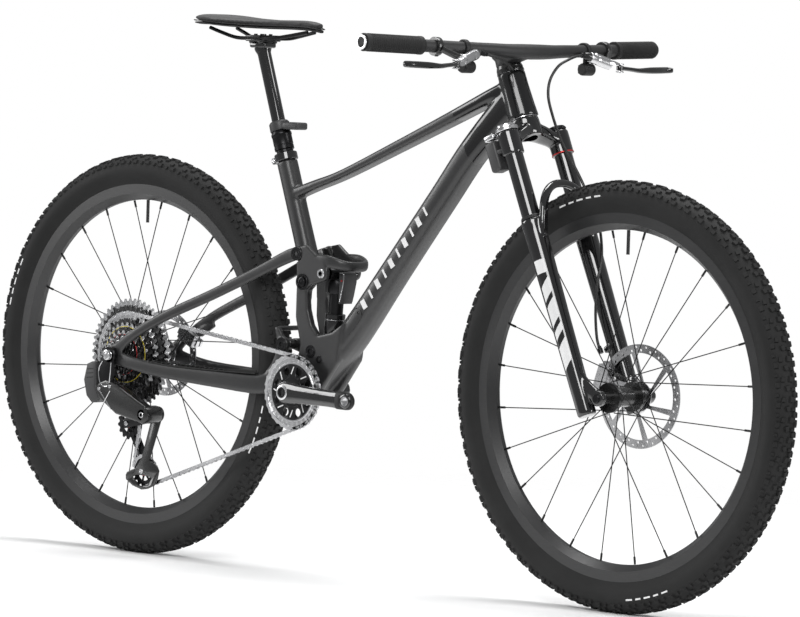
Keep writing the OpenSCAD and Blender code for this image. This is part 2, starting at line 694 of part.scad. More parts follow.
// Straight-pull spokes, half to each side, leaving the flanges tangentially.
module spokes(p, flange_l, flange_r) {
    color([0.08, 0.08, 0.08]) ring_about(p) for (i = [0:spoke_count - 1]) {
        side = i % 2 == 0 ? 1 : -1;
        lean = floor(i / 2) % 2 == 0 ? 1 : -1;
        rim_a = 360 * (i + 0.5) / spoke_count;
        hub_a = rim_a + lean * 62;
        z0 = side > 0 ? -flange_l : flange_r;
        z0s = z0 + lean * 1.6 * sign(z0);
        start = [hub_ring_r * cos(hub_a), hub_ring_r * sin(hub_a), z0s];
        finish = [286.4 * cos(rim_a), 286.4 * sin(rim_a), z0 > 0 ? 1.2 : -1.2];
        neck = finish + unit(start - finish) * 13;
        rod(start, neck, spoke_r);
        rod(neck, finish, 2);
    }
}
hub_ring_r = 27;
module hub_shape(end_l, end_r, flange_l, flange_r, bore, barrel) {
    difference() {
        union() {
            axle_span(-flange_l - 3, flange_r + 3, barrel);
            translate([0, 0, -flange_l - 3.5]) cylinder(h = 7, r = hub_ring_r - 1.1);
            translate([0, 0, flange_r - 3.5]) cylinder(h = 7, r = hub_ring_r - 1.1);
            axle_span(-end_l, end_r, bore + 3);
        }
        axle_span(-end_l - 1, end_r + 1, bore);
    }
}
module axle_span(z1, z2, r) {
    translate([0, 0, z1]) cylinder(h = z2 - z1, r = r);
}
front_flange_l = 26;
front_flange_r = 36;
rear_flange_l = 37;
rear_flange_r = 21;
module front_hub() {
    color([0.08, 0.08, 0.08]) ring_about(front_axle_p)
        hub_shape(54.8, 54.8, front_flange_l, front_flange_r, front_axle_r + run_fit, 17);
    color([0.08, 0.08, 0.08]) ring_about(front_axle_p) difference() {
        axle_span(-front_rotor_y + 1.1, -front_flange_l - 3, 17.3);
        axle_span(-60, 60, 8.1);
    }
}
module rear_hub() {
    color([0.08, 0.08, 0.08]) ring_about(rear_axle_p)
        hub_shape(drop_in - 0.2, drop_in - 0.2, rear_flange_l, rear_flange_r,
            rear_axle_r + run_fit, 17);
    color([0.08, 0.08, 0.08]) ring_about(rear_axle_p) difference() {
        axle_span(-rear_rotor_y + 1.1, -rear_flange_l - 3, 17.3);
        axle_span(-60, 60, 8.1);
    }
}
module rotor(p, r, y) {
    color("silver") ring_about(p) translate([0, 0, -y - 0.9]) linear_extrude(1.8) difference() {
        union() {
            difference() {
                circle(r = r);
                circle(r = r - 15);
            }
            for (i = [0:5]) rotate(60 * i) translate([0, 0]) polygon([turn2([21, 0], 0),
                turn2([24, 0], 24), turn2([r - 14, 0], 46), turn2([r - 14, 0], 38)]);
            circle(r = 26);
        }
        circle(r = 17.4);
        for (i = [0:23]) rotate(15 * i) translate([r - 10.5, 0]) circle(r = 2.2);
        for (i = [0:23]) rotate(15 * i + 7.5) translate([r - 4.8, 0]) circle(r = 1.9);
    }
}
module front_tyre() { tyre(front_axle_p); }
module front_rim() { rim(front_axle_p, 90); }
module front_spokes() { spokes(front_axle_p, front_flange_l, front_flange_r); }
module front_rotor() { rotor(front_axle_p, front_rotor_r, front_rotor_y); }
module rear_tyre() { tyre(rear_axle_p); }
module rear_rim() { rim(rear_axle_p, 90); }
module rear_spokes() { spokes(rear_axle_p, rear_flange_l, rear_flange_r); }
module rear_rotor() { rotor(rear_axle_p, rear_rotor_r, rear_rotor_y); }

// ---------------------------------------------------------------- rear suspension
link_w = 34.4;
module lower_link() {
    color([0.06, 0.06, 0.06]) difference() {
        union() {
            axle_rod(link_rear, -link_w, link_w, 10);
            side_plate(-strut_in + 1, strut_in - 1) polygon([link_rear + [0, 9.9],
                link_low + [0, 9.9], link_low + [0, -9.9], link_rear + [0, -9.9]]);
            axle_rod(link_low, -strut_in + 1, strut_in - 1, 10);
        }
        axle_rod(link_rear, -50, 50, pin_r);
        axle_rod(link_low, -50, 50, pin_r);
    }
}
shock_bolt_r = 4.4;
module upper_link() {
    color("silver") axle_rod(shock_top, -rocker_out - 0.1, rocker_out + 0.1, shock_bolt_r);
    color("silver") both_sides() axle_rod(shock_top, rocker_out + 0.1, rocker_out + 2, 8.5);
    color([0.2, 0.2, 0.21]) difference() {
        union() {
            both_sides() side_plate(rocker_in, rocker_out) polygon([
                rocker_rear + [4, 13], rocker_rear + [24, 17], shock_top + [-14, 32],
                shock_top + [6, 22], shock_top + [15, 4], shock_top + [8, -12],
                rocker_p + [16, -6], rocker_p + [6, -14], rocker_p + [-8, -13],
                rocker_p + [-15, 0], rocker_rear + [0, -16]]);
            both_sides() axle_rod(rocker_p, rocker_in, rocker_out, 15);
            both_sides() axle_rod(shock_top, rocker_in, rocker_out, 14);
            // Inner ears that the stays are pinned to
            both_sides() side_plate(28.5, 34.5) polygon([rocker_rear + [-9, -8],
                rocker_rear + [-9, 8], rocker_rear + [9, 8], rocker_p + [14, 26],
                rocker_p + [-12, 24]]);
            both_sides() axle_rod(rocker_rear, 28.5, 34.5, 11);
            both_sides() axle_rod(rocker_p + [0, 28], 30, rocker_in + 1, 7);
            loft([[shock_top[0] - 20, -41, shock_top[1] + 26, 8, 5],
                [shock_top[0] + 16, -40, shock_top[1] + 24, 7, 6],
                [shock_top[0] + 36, -31, shock_top[1] + 17, 6.5, 6],
                [shock_top[0] + 46, -14, shock_top[1] + 11, 6.5, 6],
                [shock_top[0] + 47, 0, shock_top[1] + 10, 6.5, 6],
                [shock_top[0] + 46, 14, shock_top[1] + 11, 6.5, 6],
                [shock_top[0] + 36, 31, shock_top[1] + 17, 6.5, 6],
                [shock_top[0] + 16, 40, shock_top[1] + 24, 7, 6],
                [shock_top[0] - 20, 41, shock_top[1] + 26, 8, 5]], ref = [0.1, 0, 1]);
        }
        both_sides() axle_rod(rocker_rear, 35, 60, stay_boss_r + open_gap);
        both_sides() axle_rod(rocker_rear, 20, 35, pin_r - 1 + open_gap);
        axle_rod(rocker_p, -60, 60, pin_r);
        axle_rod(shock_top, -60, 60, shock_bolt_r + run_fit);
        axle_rod(rocker_p, -28.4, 28.4, 30);
    }
}
module swingarm() {
    color([0.2, 0.2, 0.21]) difference() {
        union() {
            both_sides() {
                // Chainstay
                loft([[rear_axle_p[0] + 6, 77.9, wheel_r - 4, 3.9, 14],
                    [rear_axle_p[0] + 50, 77, wheel_r - 13, 6, 12],
                    [rear_axle_p[0] + 120, 70, wheel_r - 22, 7, 14],
                    [rear_axle_p[0] + 250, 58, wheel_r - 29, 7, 16],
                    [link_rear[0] - 50, 46, bb[1] + 8, 6.5, 18],
                    [link_rear[0] - 22, 41.5, bb[1] + 26, 5.6, 19],
                    [link_rear[0] - 8, 41, bb[1] + 54, 5.6, 15],
                    [link_rear[0] - 1, 41, link_rear[1], 5.6, 12]]);
                // Seatstay
                loft([[rear_axle_p[0] + 2, 77.9, wheel_r + 6, 3.9, 13],
                    [rear_axle_p[0] + 45, 76, wheel_r + 38, 6, 9],
                    [rear_axle_p[0] + 120, 67, wheel_r + 78, 6, 10],
                    [rear_axle_p[0] + 230, 56, wheel_r + 124, 6, 10.5],
                    [rocker_rear[0] - 100, 47, rocker_rear[1] - 41, 6, 11],
                    [rocker_rear[0] - 50, 43.5, rocker_rear[1] - 18, 6, 12],
                    [rocker_rear[0] - 22, 42, rocker_rear[1] - 6, 5, 13],
                    [rocker_rear[0] - 6, 41.5, rocker_rear[1] - 1, 5, 12]]);
                axle_rod(rocker_rear, rocker_in, 46.5, stay_boss_r);
                axle_rod(rocker_rear, 29, rocker_in, pin_r - 1);
                axle_rod(link_rear, arm_in, arm_out, 13);
                axle_rod(rear_axle_p, drop_in, drop_out, 19);
            }
            axle_rod(link_rear + [-17, 27], -41, 41, 4.6);
            axle_rod(link_rear, -link_w - 1, -link_w + 5, pin_r - run_fit);
            both_sides() axle_rod(link_rear, link_w - 20, arm_in + 1, pin_r - run_fit);
            both_sides() side_plate(37, 45) polygon([link_rear + [-22, 30], link_rear + [-12, 30],
                link_rear + [4, 8], link_rear + [-12, -8]]);
            // Post mount of the rear caliper
            side_plate(64, 71) polygon([rear_axle_p + [58, 40], rear_axle_p + [112, 68],
                rear_axle_p + [118, 56], rear_axle_p + [70, 26]]);
        }
        axle_rod(rear_axle_p, -100, 100, rear_axle_r + run_fit);
        axle_rod(rear_axle_p, -drop_in, drop_in, 60);
    }
}
module rear_axle() {
    color("silver") axle_rod(rear_axle_p, -97, drop_out + 1, rear_axle_r);
    color("silver") axle_rod(rear_axle_p, drop_out + 0.1, drop_out + 3.5, 9.5);
    color("silver") axle_rod(rear_axle_p, -98.6, -95.4, 9.5);
}
module rear_caliper() {
    color("silver") difference() {
        translate([rear_axle_p[0] + 66, rear_rotor_y, rear_axle_p[1] + 34])
            rotate([0, -63 + 90, 0]) translate([-1, 0, 0]) rotate([0, 90, 0]) caliper(40);
        translate([rear_axle_p[0] - 100, 63.8, rear_axle_p[1] - 100]) cube([300, 40, 300]);
    }
}

// ---------------------------------------------------------------- shock
can_r = 18.5;
damper_r = 13.5;
can_top = 82;
module shock_can() {
    color([0.05, 0.05, 0.05]) difference() {
        union() {
            axle_rod(shock_low, -strut_in + 1, strut_in - 1, 9.5);
            on_shock() cylinder(h = can_top, r = 15);
            on_shock() translate([0, 0, 12]) cylinder(h = can_top - 12, r = can_r);
        }
        on_shock() translate([0, 0, 15]) cylinder(h = 100, r = damper_r + run_fit);
        axle_rod(shock_low, -40, 40, pin_r);
        axle_rod(link_low, -40, 40, 11);
        on_shock() translate([-60, -40, -20]) cube([43.4, 80, 36]);
    }
}
module shock_damper() {
    color([0.08, 0.08, 0.08]) difference() {
        union() {
            on_shock() translate([0, 0, 56]) cylinder(h = shock_l - 70, r = damper_r);
            on_shock() translate([0, 0, can_top + 41]) cylinder(h = shock_l - can_top - 48, r = 17);
            axle_rod(shock_top, -27, 27, 10.5);
        }
        axle_rod(shock_top, -40, 40, shock_bolt_r + open_gap);
        on_shock() translate([0, 0, 50]) cylinder(h = 50, r = 9);
    }
}
module shock_battery() {
    color([0.12, 0.12, 0.13]) side_plate(-17, 17) polygon([shock_top + [19, 2],
        shock_top + [31, 0], shock_top + [30, -16], shock_top + [24.5, -40], shock_top + [20, -54]]);
}

// ---------------------------------------------------------------- drivetrain
// A toothed disc: valleys and tips about the pitch circle.
module toothed(teeth, t) {
    r = pitch_r(teeth);
    linear_extrude(t, center = true) polygon([for (i = [0:teeth - 1]) for (q = [0:3])
        let (a = 360 * (i + [0.16, 0.40, 0.60, 0.84][q]) / teeth,
            rr = (q == 0 || q == 3) ? r - 3.6 : r + 2.4)
        [rr * cos(a), rr * sin(a)]]);
}
module cassette() {
    color("silver") ring_about(rear_axle_p) difference() {
        union() {
            for (i = [0:len(cog_teeth) - 1]) translate([0, 0, big_cog_y + i * cog_pitch])
                toothed(cog_teeth[i], 1.7);
            for (i = [0:len(cog_teeth) - 2]) translate([0, 0, big_cog_y + i * cog_pitch])
                cylinder(h = cog_pitch, r = pitch_r(cog_teeth[i + 1]) - 7);
            translate([0, 0, big_cog_y - 7]) cylinder(h = 6.2, r1 = 30, r2 = 60);
        }
        translate([0, 0, 0]) cylinder(h = 200, r = 11.2);
        for (k = [0:5]) rotate(60 * k) translate([78, 0, 0]) cylinder(h = 36.5, r = 13);
    }
}
derail_out = 96;
module derailleur_body() {
    color([0.09, 0.09, 0.1]) difference() {
        union() {
            axle_rod(rear_axle_p, -92, -drop_out - 0.2, 15);
            side_plate(-92, -drop_out - 0.5) polygon([rear_axle_p + [-14, 4],
                rear_axle_p + [-30, -24], rear_axle_p + [-20, -62], rear_axle_p + [4, -66],
                rear_axle_p + [14, 2]]);
            side_plate(-93, -72) polygon([rear_axle_p + [-34, -62], rear_axle_p + [-6, -46],
                rear_axle_p + [14, -50], knuckle_p + [8, 16], knuckle_p + [2, -16],
                rear_axle_p + [22, -108], rear_axle_p + [-22, -82]]);
            axle_rod(knuckle_p, -93, -52, 16.5);
        }
        axle_rod(rear_axle_p, -100, -60, rear_axle_r + run_fit);
        axle_rod(rear_axle_p, -73.9, -20, 105);
        axle_rod(knuckle_p, -72, -40, 6 + run_fit);
        side_plate(-drop_out - 0.2, -60) translate(rear_axle_p) circle(r = 20);
        axle_rod(rear_axle_p + [-4, -34], -100, -70, 7);
    }
}
module derailleur_battery() {
    color([0.16, 0.16, 0.17]) side_plate(-88, -60) polygon([rear_axle_p + [-62, -20],
        rear_axle_p + [-36, -14], rear_axle_p + [-36.5, -62], rear_axle_p + [-25, -83],
        rear_axle_p + [-48, -92], rear_axle_p + [-70, -50]]);
}
module derailleur_cage() {
    color([0.08, 0.08, 0.08]) {
        difference() {
            union() {
                side_plate(-pulley_y - 9, -pulley_y - 6) polygon([knuckle_p + [-13, 4],
                    knuckle_p + [13, 4], pulley_low_p + [20, 22], pulley_low_p + [46, 4],
                    pulley_low_p + [34, -24], pulley_low_p + [2, -34], pulley_low_p + [-40, -18],
                    pulley_low_p + [-38, -4], pulley_low_p + [0, 26]]);
                side_plate(-pulley_y - 9, -pulley_y - 6) polygon([knuckle_p + [-4, -14],
                    knuckle_p + [-4, 12], pulley_up_p + [-4, 10], pulley_up_p + [-6, -10]]);
                axle_rod(knuckle_p, -pulley_y - 10.6, -pulley_y - 6, 15);
            }
            side_plate(-pulley_y - 20, -pulley_y) polygon([pulley_low_p + [-20, -11],
                pulley_low_p + [18, -8], pulley_low_p + [26, -14], pulley_low_p + [14, -24],
                pulley_low_p + [-4, -25]]);
        }
        axle_rod(knuckle_p, -68, -pulley_y - 8, 6);
        side_plate(-pulley_y + 5, -pulley_y + 7.5) polygon([pulley_up_p + [-8, 6],
            pulley_up_p + [8, 8], pulley_low_p + [16, 6], pulley_low_p + [12, -12],
            pulley_low_p + [-12, -12], pulley_low_p + [-14, 4]]);
        for (p = [pulley_up_p, pulley_low_p]) axle_rod(p, -pulley_y - 7, -pulley_y + 6, 3);
    }
}
module pulley(p) {
    color([0.1, 0.1, 0.1]) ring_about(p) translate([0, 0, pulley_y]) difference() {
        union() {
            rotate(90 / pulley_teeth) toothed(pulley_teeth, 2);
            cylinder(h = 8, r = 9, center = true);
        }
        cylinder(h = 20, r = 3 + run_fit, center = true);
        for (k = [0:4]) rotate(72 * k) translate([16, 0, -5]) cylinder(h = 10, r = 4);
    }
}
module pulley_upper() { pulley(pulley_up_p); }
module pulley_lower() { pulley(pulley_low_p); }

crank_up = [cos(1.5), -sin(1.5)];
arm_y = 76;
module crank_right() {
    tip = bb + crank_up * crank_l;
    color([0.05, 0.05, 0.05]) difference() {
        union() {
            loft([[each v3(bb + crank_up * -14, -arm_y + 5), 8, 17],
                [each v3(bb, -arm_y + 4), 9, 20], [each v3(bb + crank_up * 40, -arm_y), 8.5, 17],
                [each v3(bb + crank_up * 110, -arm_y - 5), 7.5, 15],
                [each v3(tip, -arm_y - 9), 7, 16], [each v3(tip + crank_up * 13, -arm_y - 9), 6, 9]]);
            axle_rod(bb, -arm_y - 4, -44.4, 16);
            axle_rod(tip, -arm_y - 9 - pedal_wall / 2, -arm_y - 9 + pedal_wall / 2, 13);
        }
        axle_rod(tip, -120, -40, pedal_r);
    }
    color("silver") axle_rod(bb, -44.3, 80, spindle_r);
}
pedal_r = 7.14;
pedal_wall = 15;
module crank_left() {
    tip = bb - crank_up * crank_l;
    color([0.05, 0.05, 0.05]) difference() {
        union() {
            loft([[each v3(bb + crank_up * 14, arm_y - 5), 8, 17],
                [each v3(bb, arm_y - 4), 9, 20], [each v3(bb - crank_up * 40, arm_y), 8.5, 17],
                [each v3(bb - crank_up * 110, arm_y + 5), 7.5, 15],
                [each v3(tip, arm_y + 9), 7, 16], [each v3(tip - crank_up * 13, arm_y + 9), 6, 9]]);
            axle_rod(bb, 44.4, arm_y + 4, 19);
            axle_rod(tip, arm_y + 9 - pedal_wall / 2, arm_y + 9 + pedal_wall / 2, 13);
        }
        axle_rod(tip, 40, 120, pedal_r);
        axle_rod(bb, 0, 120, spindle_r);
    }
}
module chainring() {
    color("silver") ring_about(bb) translate([0, 0, chainline]) difference() {
        toothed(ring_teeth, 2);
        translate([0, 0, -5]) cylinder(h = 10, r = 16.1);
        for (k = [0:7]) rotate(45 * k) translate([40, 0, -5]) cylinder(h = 10, r = 9);
    }
}

// Chain: two side-plate strips along the pitch line of the cogs and pulleys.
// Tangent angle of the belt line between two circles that it passes on the given sides.
function belt(c1, r1, c2, r2) = let (d = c2 - c1, a = atan2(d[1], d[0]), b = acos((r1 - r2) / norm(d)))
    a + b;
ring_pr = pitch_r(ring_teeth);
cog_pr = pitch_r(cog_teeth[drive_cog]);
pul_pr = pitch_r(pulley_teeth);
// Angles at which the chain leaves each circle
top_a = belt(rear_axle_p, cog_pr, bb, ring_pr);
low_a = belt(bb, ring_pr, pulley_low_p, pul_pr) - 360;
up_low_a = let (d = pulley_low_p - pulley_up_p)
    atan2(d[1], d[0]) + acos(2 * pul_pr / norm(d));
cog_pul_a = let (d = pulley_up_p - rear_axle_p)
    atan2(d[1], d[0]) - acos((cog_pr + pul_pr) / norm(d));
function at_circle(c, r, a) = c + r * [cos(a), sin(a)];
function arc_pts(c, r, a1, a2, n, y) = [for (i = [0:n]) [each v3(at_circle(c, r, mix(a1, a2, i / n)), y)]];
module strips(pts) {
    for (s = [-1, 1]) loft([for (p = pts) [p[0], p[1] + s * (plate_in + plate_out) / 2, p[2],
        (plate_out - plate_in) / 2, chain_h / 2]], sides = 8, power = 6);
}
module chain_run() {
    start = at_circle(rear_axle_p, cog_pr, top_a);
    ring_top = at_circle(bb, ring_pr, top_a);
    finish = at_circle(pulley_low_p, pul_pr, low_a + 360);
    ring_low = at_circle(bb, ring_pr, low_a);
    up_dir = unit(ring_top - start);
    low_dir = unit(ring_low - finish);
    color("silver") strips(concat(
        [[each v3(start + up_dir * 3, -pulley_y)], [each v3(start + up_dir * 32, -pulley_y)],
            [each v3(ring_top - up_dir * 28, -chainline)]],
        arc_pts(bb, ring_pr, top_a, low_a, 16, -chainline),
        [[each v3(ring_low - low_dir * 28, -chainline)], [each v3(finish + low_dir * 25, -pulley_y)],
            [each v3(finish + low_dir * 3, -pulley_y)]]));
}
module chain_rear() {
    color("silver") strips(concat(
        arc_pts(rear_axle_p, cog_pr, top_a, cog_pul_a + 360, 14, -pulley_y),
        arc_pts(pulley_up_p, pul_pr, cog_pul_a + 180, up_low_a, 8, -pulley_y),
        arc_pts(pulley_low_p, pul_pr, up_low_a + 180, low_a + 720, 8, -pulley_y)));
}

front_triangle();
headset_bearings();
bottom_bracket();
seat_clamp();
frame_bolts();
dropper_outer();
dropper_battery();
dropper_post();
saddle_clamp();
saddle_rails();
saddle_shell();
saddle_cover();
fork_crown();
stanchions();
fork_control();
headset_cover();
cockpit();
grips();
bar_plugs();
brake_bodies();
shift_pods();
rear_hose();
brake_lever_left();
brake_lever_right();
pod_button_left();
pod_button_right();
fork_lowers();
fork_seals();
front_axle();
front_caliper();
front_hose();
front_tyre();
front_rim();
front_spokes();
front_hub();
front_rotor();
lower_link();
upper_link();
swingarm();
rear_axle();
rear_caliper();
derailleur_body();
derailleur_battery();
derailleur_cage();
pulley_upper();
pulley_lower();
rear_tyre();
rear_rim();
rear_spokes();
rear_hub();
rear_rotor();
cassette();
crank_right();
crank_left();
chainring();
shock_can();
shock_damper();
shock_battery();
chain_run();
chain_rear();
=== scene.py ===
"""The finished look of the full-suspension bike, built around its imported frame.

Lengths are in millimetres while a piece is shaped, and become metres when it is finished.
X points forward, Y to the rider's left, Z up, and the drive side is -Y.
"""

import json
import math

import bmesh
import bpy
from mathutils import Matrix, Vector


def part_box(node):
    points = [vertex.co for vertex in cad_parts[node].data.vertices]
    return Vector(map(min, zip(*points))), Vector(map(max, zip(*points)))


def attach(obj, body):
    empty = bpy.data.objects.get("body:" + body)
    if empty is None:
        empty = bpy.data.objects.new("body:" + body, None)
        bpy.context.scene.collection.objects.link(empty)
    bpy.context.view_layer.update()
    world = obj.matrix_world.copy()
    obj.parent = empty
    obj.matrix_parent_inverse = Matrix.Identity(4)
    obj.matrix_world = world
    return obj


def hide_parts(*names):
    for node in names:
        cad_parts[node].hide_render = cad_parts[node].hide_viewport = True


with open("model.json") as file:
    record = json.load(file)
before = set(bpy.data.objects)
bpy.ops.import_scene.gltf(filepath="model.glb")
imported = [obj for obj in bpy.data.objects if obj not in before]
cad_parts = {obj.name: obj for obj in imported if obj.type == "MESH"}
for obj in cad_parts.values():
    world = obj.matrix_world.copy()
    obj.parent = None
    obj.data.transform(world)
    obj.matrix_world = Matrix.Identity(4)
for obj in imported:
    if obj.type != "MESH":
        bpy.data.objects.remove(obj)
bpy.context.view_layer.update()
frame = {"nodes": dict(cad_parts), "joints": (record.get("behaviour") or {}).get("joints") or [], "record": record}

MM = 0.001
Y_AXIS = Vector((0, 1, 0))
Z_AXIS = Vector((0, 0, 1))


# ---------------------------------------------------------------- places taken from the frame
def low_high(node):
    low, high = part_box(node)
    return low / MM, high / MM


JOINTS = {j["name"]: j for j in frame["joints"]}


def pivot(joint):
    return Vector(JOINTS[joint]["pos_m"]) / MM


def at(base, dx=0.0, dz=0.0, y=0.0):
    """A point given by its distance from a side-view place."""
    return Vector((base.x + dx, y, base.z + dz))


rear_axle = at(pivot("rear_wheel_spin"))
front_axle = at(pivot("front_wheel_spin"))
bb = at(pivot("crank_spin"))
rocker = at(pivot("upper_link_pivot"))
link_low = at(pivot("lower_link_pivot"))
link_rear = at(pivot("swingarm_pivot"))
shock_low = at(pivot("shock_can_pivot"))
knuckle = at(pivot("cage_pivot"))
pulley_top = at(pivot("upper_pulley_spin"))
pulley_bottom = at(pivot("lower_pulley_spin"))
rocker_rear = at(rocker, -17, 50)
shock_top = at(rocker, 46, 17)
tyre_low, tyre_high = low_high("front_tyre")
wheel_r = (tyre_high.z - tyre_low.z) / 2
tyre_half = (tyre_high.y - tyre_low.y) / 2

# Steering frame: forward, sideways and up along the steering axis
steer_up = Vector(JOINTS["steering"]["axis"]).normalized()
steer_fore = Y_AXIS.cross(steer_up)
steer_home = at(pivot("steering"))
STEER = Matrix.Translation(steer_home) @ Matrix(
    (steer_fore, Y_AXIS, steer_up)).transposed().to_4x4()


def on_steer(x, y, s):
    return STEER @ Vector((x, y, s))


seat_up = Vector(JOINTS["dropper_slide"]["axis"]).normalized()
seat_top = at(bb, -81.7, 413)


# ---------------------------------------------------------------- shaping helpers
def frame_at(place, along, ref=Y_AXIS):
    """A matrix whose Z runs along a direction, with X as near to ref as it can be."""
    z = Vector(along).normalized()
    x = (Vector(ref) - z * Vector(ref).dot(z))
    if x.length < 1e-6:
        x = z.orthogonal()
    x.normalize()
    return Matrix.Translation(place) @ Matrix((x, z.cross(x), z)).transposed().to_4x4()


def smooth_path(rows, steps):
    """Rows of numbers with extra rows between them on a Catmull-Rom curve."""
    out = []
    last = len(rows) - 1
    for i in range(last):
        a, b = rows[max(i - 1, 0)], rows[i]
        c, d = rows[i + 1], rows[min(i + 2, last)]
        for k in range(steps):
            t = k / steps
            out.append([
                0.5 * (2 * q + (r - p) * t + (2 * p - 5 * q + 4 * r - s) * t * t
                       + (3 * q - p - 3 * r + s) * t ** 3)
                for p, q, r, s in zip(a, b, c, d)])
    out.append(list(rows[last]))
    return out


def loft(bm, rows, ref=Y_AXIS, sides=20, power=2.4, closed=False, caps=True):
    """A tube through rows of [x, y, z, half width along ref, half height]."""
    loops = []
    count = len(rows)
    for i, row in enumerate(rows):
        before = rows[(i - 1) % count] if closed else rows[max(i - 1, 0)]
        after = rows[(i + 1) % count] if closed else rows[min(i + 1, count - 1)]
        along = Vector(after[:3]) - Vector(before[:3])
        turn = frame_at(Vector(row[:3]), along, ref)
        verts = bmesh.ops.create_circle(bm, cap_ends=False, radius=1, segments=sides)["verts"]
        edges = list({e for v in verts for e in v.link_edges})
        for v in verts:
            c, s = v.co.x, v.co.y
            v.co = turn @ Vector((
                row[3] * math.copysign(abs(c) ** (2 / power), c),
                row[4] * math.copysign(abs(s) ** (2 / power), s), 0))
        loops.append(edges)
    pairs = list(zip(loops, loops[1:]))
    if closed:
        pairs.append((loops[-1], loops[0]))
    for a, b in pairs:
        bmesh.ops.bridge_loops(bm, edges=a + b)
    if caps and not closed:
        bmesh.ops.contextual_create(bm, geom=loops[0])
        bmesh.ops.contextual_create(bm, geom=loops[-1])


def flow(bm, rows, steps=5, **how):
    """A loft along a smooth path through a few rows of [x, y, z, half width, half height]."""
    loft(bm, smooth_path([list(r) for r in rows], steps), **how)


def wire(bm, points, radius, sides=8, steps=1, closed=False, ref=(0.3, 0.5, 0.81)):
    """A round wire of one radius through the points."""
    rows = [[*p, radius, radius] for p in points]
    if steps > 1:
        rows = smooth_path(rows, steps)
    loft(bm, rows, ref=Vector(ref), sides=sides, power=2, closed=closed)


def lathe(bm, profile, place, along=Y_AXIS, segments=48, ref=Z_AXIS):
    """A turned part: profile rows are [radius, distance along the axis]."""
    verts = [bm.verts.new((r, 0, t)) for r, t in profile]
    edges = [bm.edges.new(pair) for pair in zip(verts, verts[1:])]
    bmesh.ops.spin(
        bm, geom=verts + edges, cent=(0, 0, 0), axis=(0, 0, 1), angle=math.tau,
        steps=segments, use_merge=True, use_duplicate=False)
    seen = set(verts)
    stack = list(verts)
    while stack:
        for e in stack.pop().link_edges:
            for v in e.verts:
                if v not in seen:
                    seen.add(v)
                    stack.append(v)
    bmesh.ops.transform(bm, matrix=frame_at(place, along, ref), verts=list(seen))
    bmesh.ops.remove_doubles(bm, verts=list(seen), dist=1e-4)


def ring_band(bm, r_in, r_out, half, place, along=Y_AXIS, soft=0.4, segments=48):
    """A flat ring with softened rims."""
    lathe(bm, [[r_in, -half + soft], [r_in + soft, -half], [r_out - soft, -half],
               [r_out, -half + soft], [r_out, half - soft], [r_out - soft, half],
               [r_in + soft, half], [r_in, half - soft], [r_in, -half + soft]],
          place, along, segments)


def button(bm, r, low, high, place, along=Y_AXIS, soft=0.8, segments=40):
    """A turned button with rounded rims, from low to high along its axis."""
    lathe(bm, [[0, low], [r - soft, low], [r, low + soft], [r, high - soft],
               [r - soft * 0.3, high - soft * 0.3], [r - soft, high], [0, high]],
          place, along, segments)


def hex_bolt(bm, r, place, along=Y_AXIS, depth=1.6, socket=0.5):
    """A round bolt head whose hexagon socket goes into it."""
    turn = frame_at(place, along, Z_AXIS)
    lathe(bm, [[r * socket * 1.1, depth], [r - 0.5, depth], [r, depth - 0.5], [r, -0.5],
               [0, -0.5]], place, along, 28)
    rim = bmesh.ops.create_circle(bm, cap_ends=False, radius=r * socket * 1.1, segments=6)["verts"]
    floor = bmesh.ops.create_circle(bm, cap_ends=True, radius=r * socket, segments=6)["verts"]
    for v in rim:
        v.co.z = depth
    for v in floor:
        v.co.z = depth - 1.3
    bmesh.ops.bridge_loops(bm, edges=list({e for v in rim + floor for e in v.link_edges}))
    bmesh.ops.transform(bm, matrix=turn, verts=rim + floor)


def outline_plate(bm, places, y_low, y_high, soft=0.8, segments=2):
    """A side-view outline of places, given its width and softened edges."""
    verts = [bm.verts.new((p.x, y_low, p.z)) for p in places]
    face = bm.faces.new(verts)
    made = bmesh.ops.extrude_face_region(bm, geom=[face])["geom"]
    moved = [g for g in made if isinstance(g, bmesh.types.BMVert)]
    bmesh.ops.translate(bm, vec=(0, y_high - y_low, 0), verts=moved)
    if soft > 0:
        rims = [e for e in {e for v in verts + moved for e in v.link_edges}
                if abs(e.verts[0].co.y - e.verts[1].co.y) < 1e-5]
        bmesh.ops.bevel(bm, geom=rims, offset=soft, offset_type="OFFSET", affect="EDGES",
                        segments=segments, profile=0.5, clamp_overlap=True, material=-1)


def turned(place, angle):
    """A place with its X and Z turned about the Y axis."""
    return Matrix.Translation(place) @ Matrix.Rotation(angle, 4, "Y")


def block(bm, size, matrix, soft=1.0, segments=2):
    """A rounded box."""
    verts = bmesh.ops.create_cube(bm, size=1)["verts"]
    bmesh.ops.scale(bm, vec=size, verts=verts)
    edges = list({e for v in verts for e in v.link_edges})
    made = bmesh.ops.bevel(bm, geom=edges, offset=soft, offset_type="OFFSET", affect="EDGES",
                           segments=segments, profile=0.5, clamp_overlap=True, material=-1)
    verts = list({v for f in made["faces"] for v in f.verts})
    bmesh.ops.transform(bm, matrix=matrix, verts=verts)


def make(name, bm, paint, angle=35):
    """Turn a shaped mesh into an object, in metres."""
    bmesh.ops.scale(bm, vec=(MM, MM, MM), verts=bm.verts)
    bmesh.ops.recalc_face_normals(bm, faces=bm.faces)
    mesh = bpy.data.meshes.new(name)
    bm.to_mesh(mesh)
    bm.free()
    obj = bpy.data.objects.new(name, mesh)
    bpy.context.scene.collection.objects.link(obj)
    mesh.materials.append(paint)
    soften(mesh, angle)
    return obj


def soften(mesh, angle):
    """Smooth shading that keeps edges sharper than the angle, in degrees."""
    mesh.shade_smooth()
    if angle < 180:
        mesh.set_sharp_from_angle(angle=math.radians(angle))


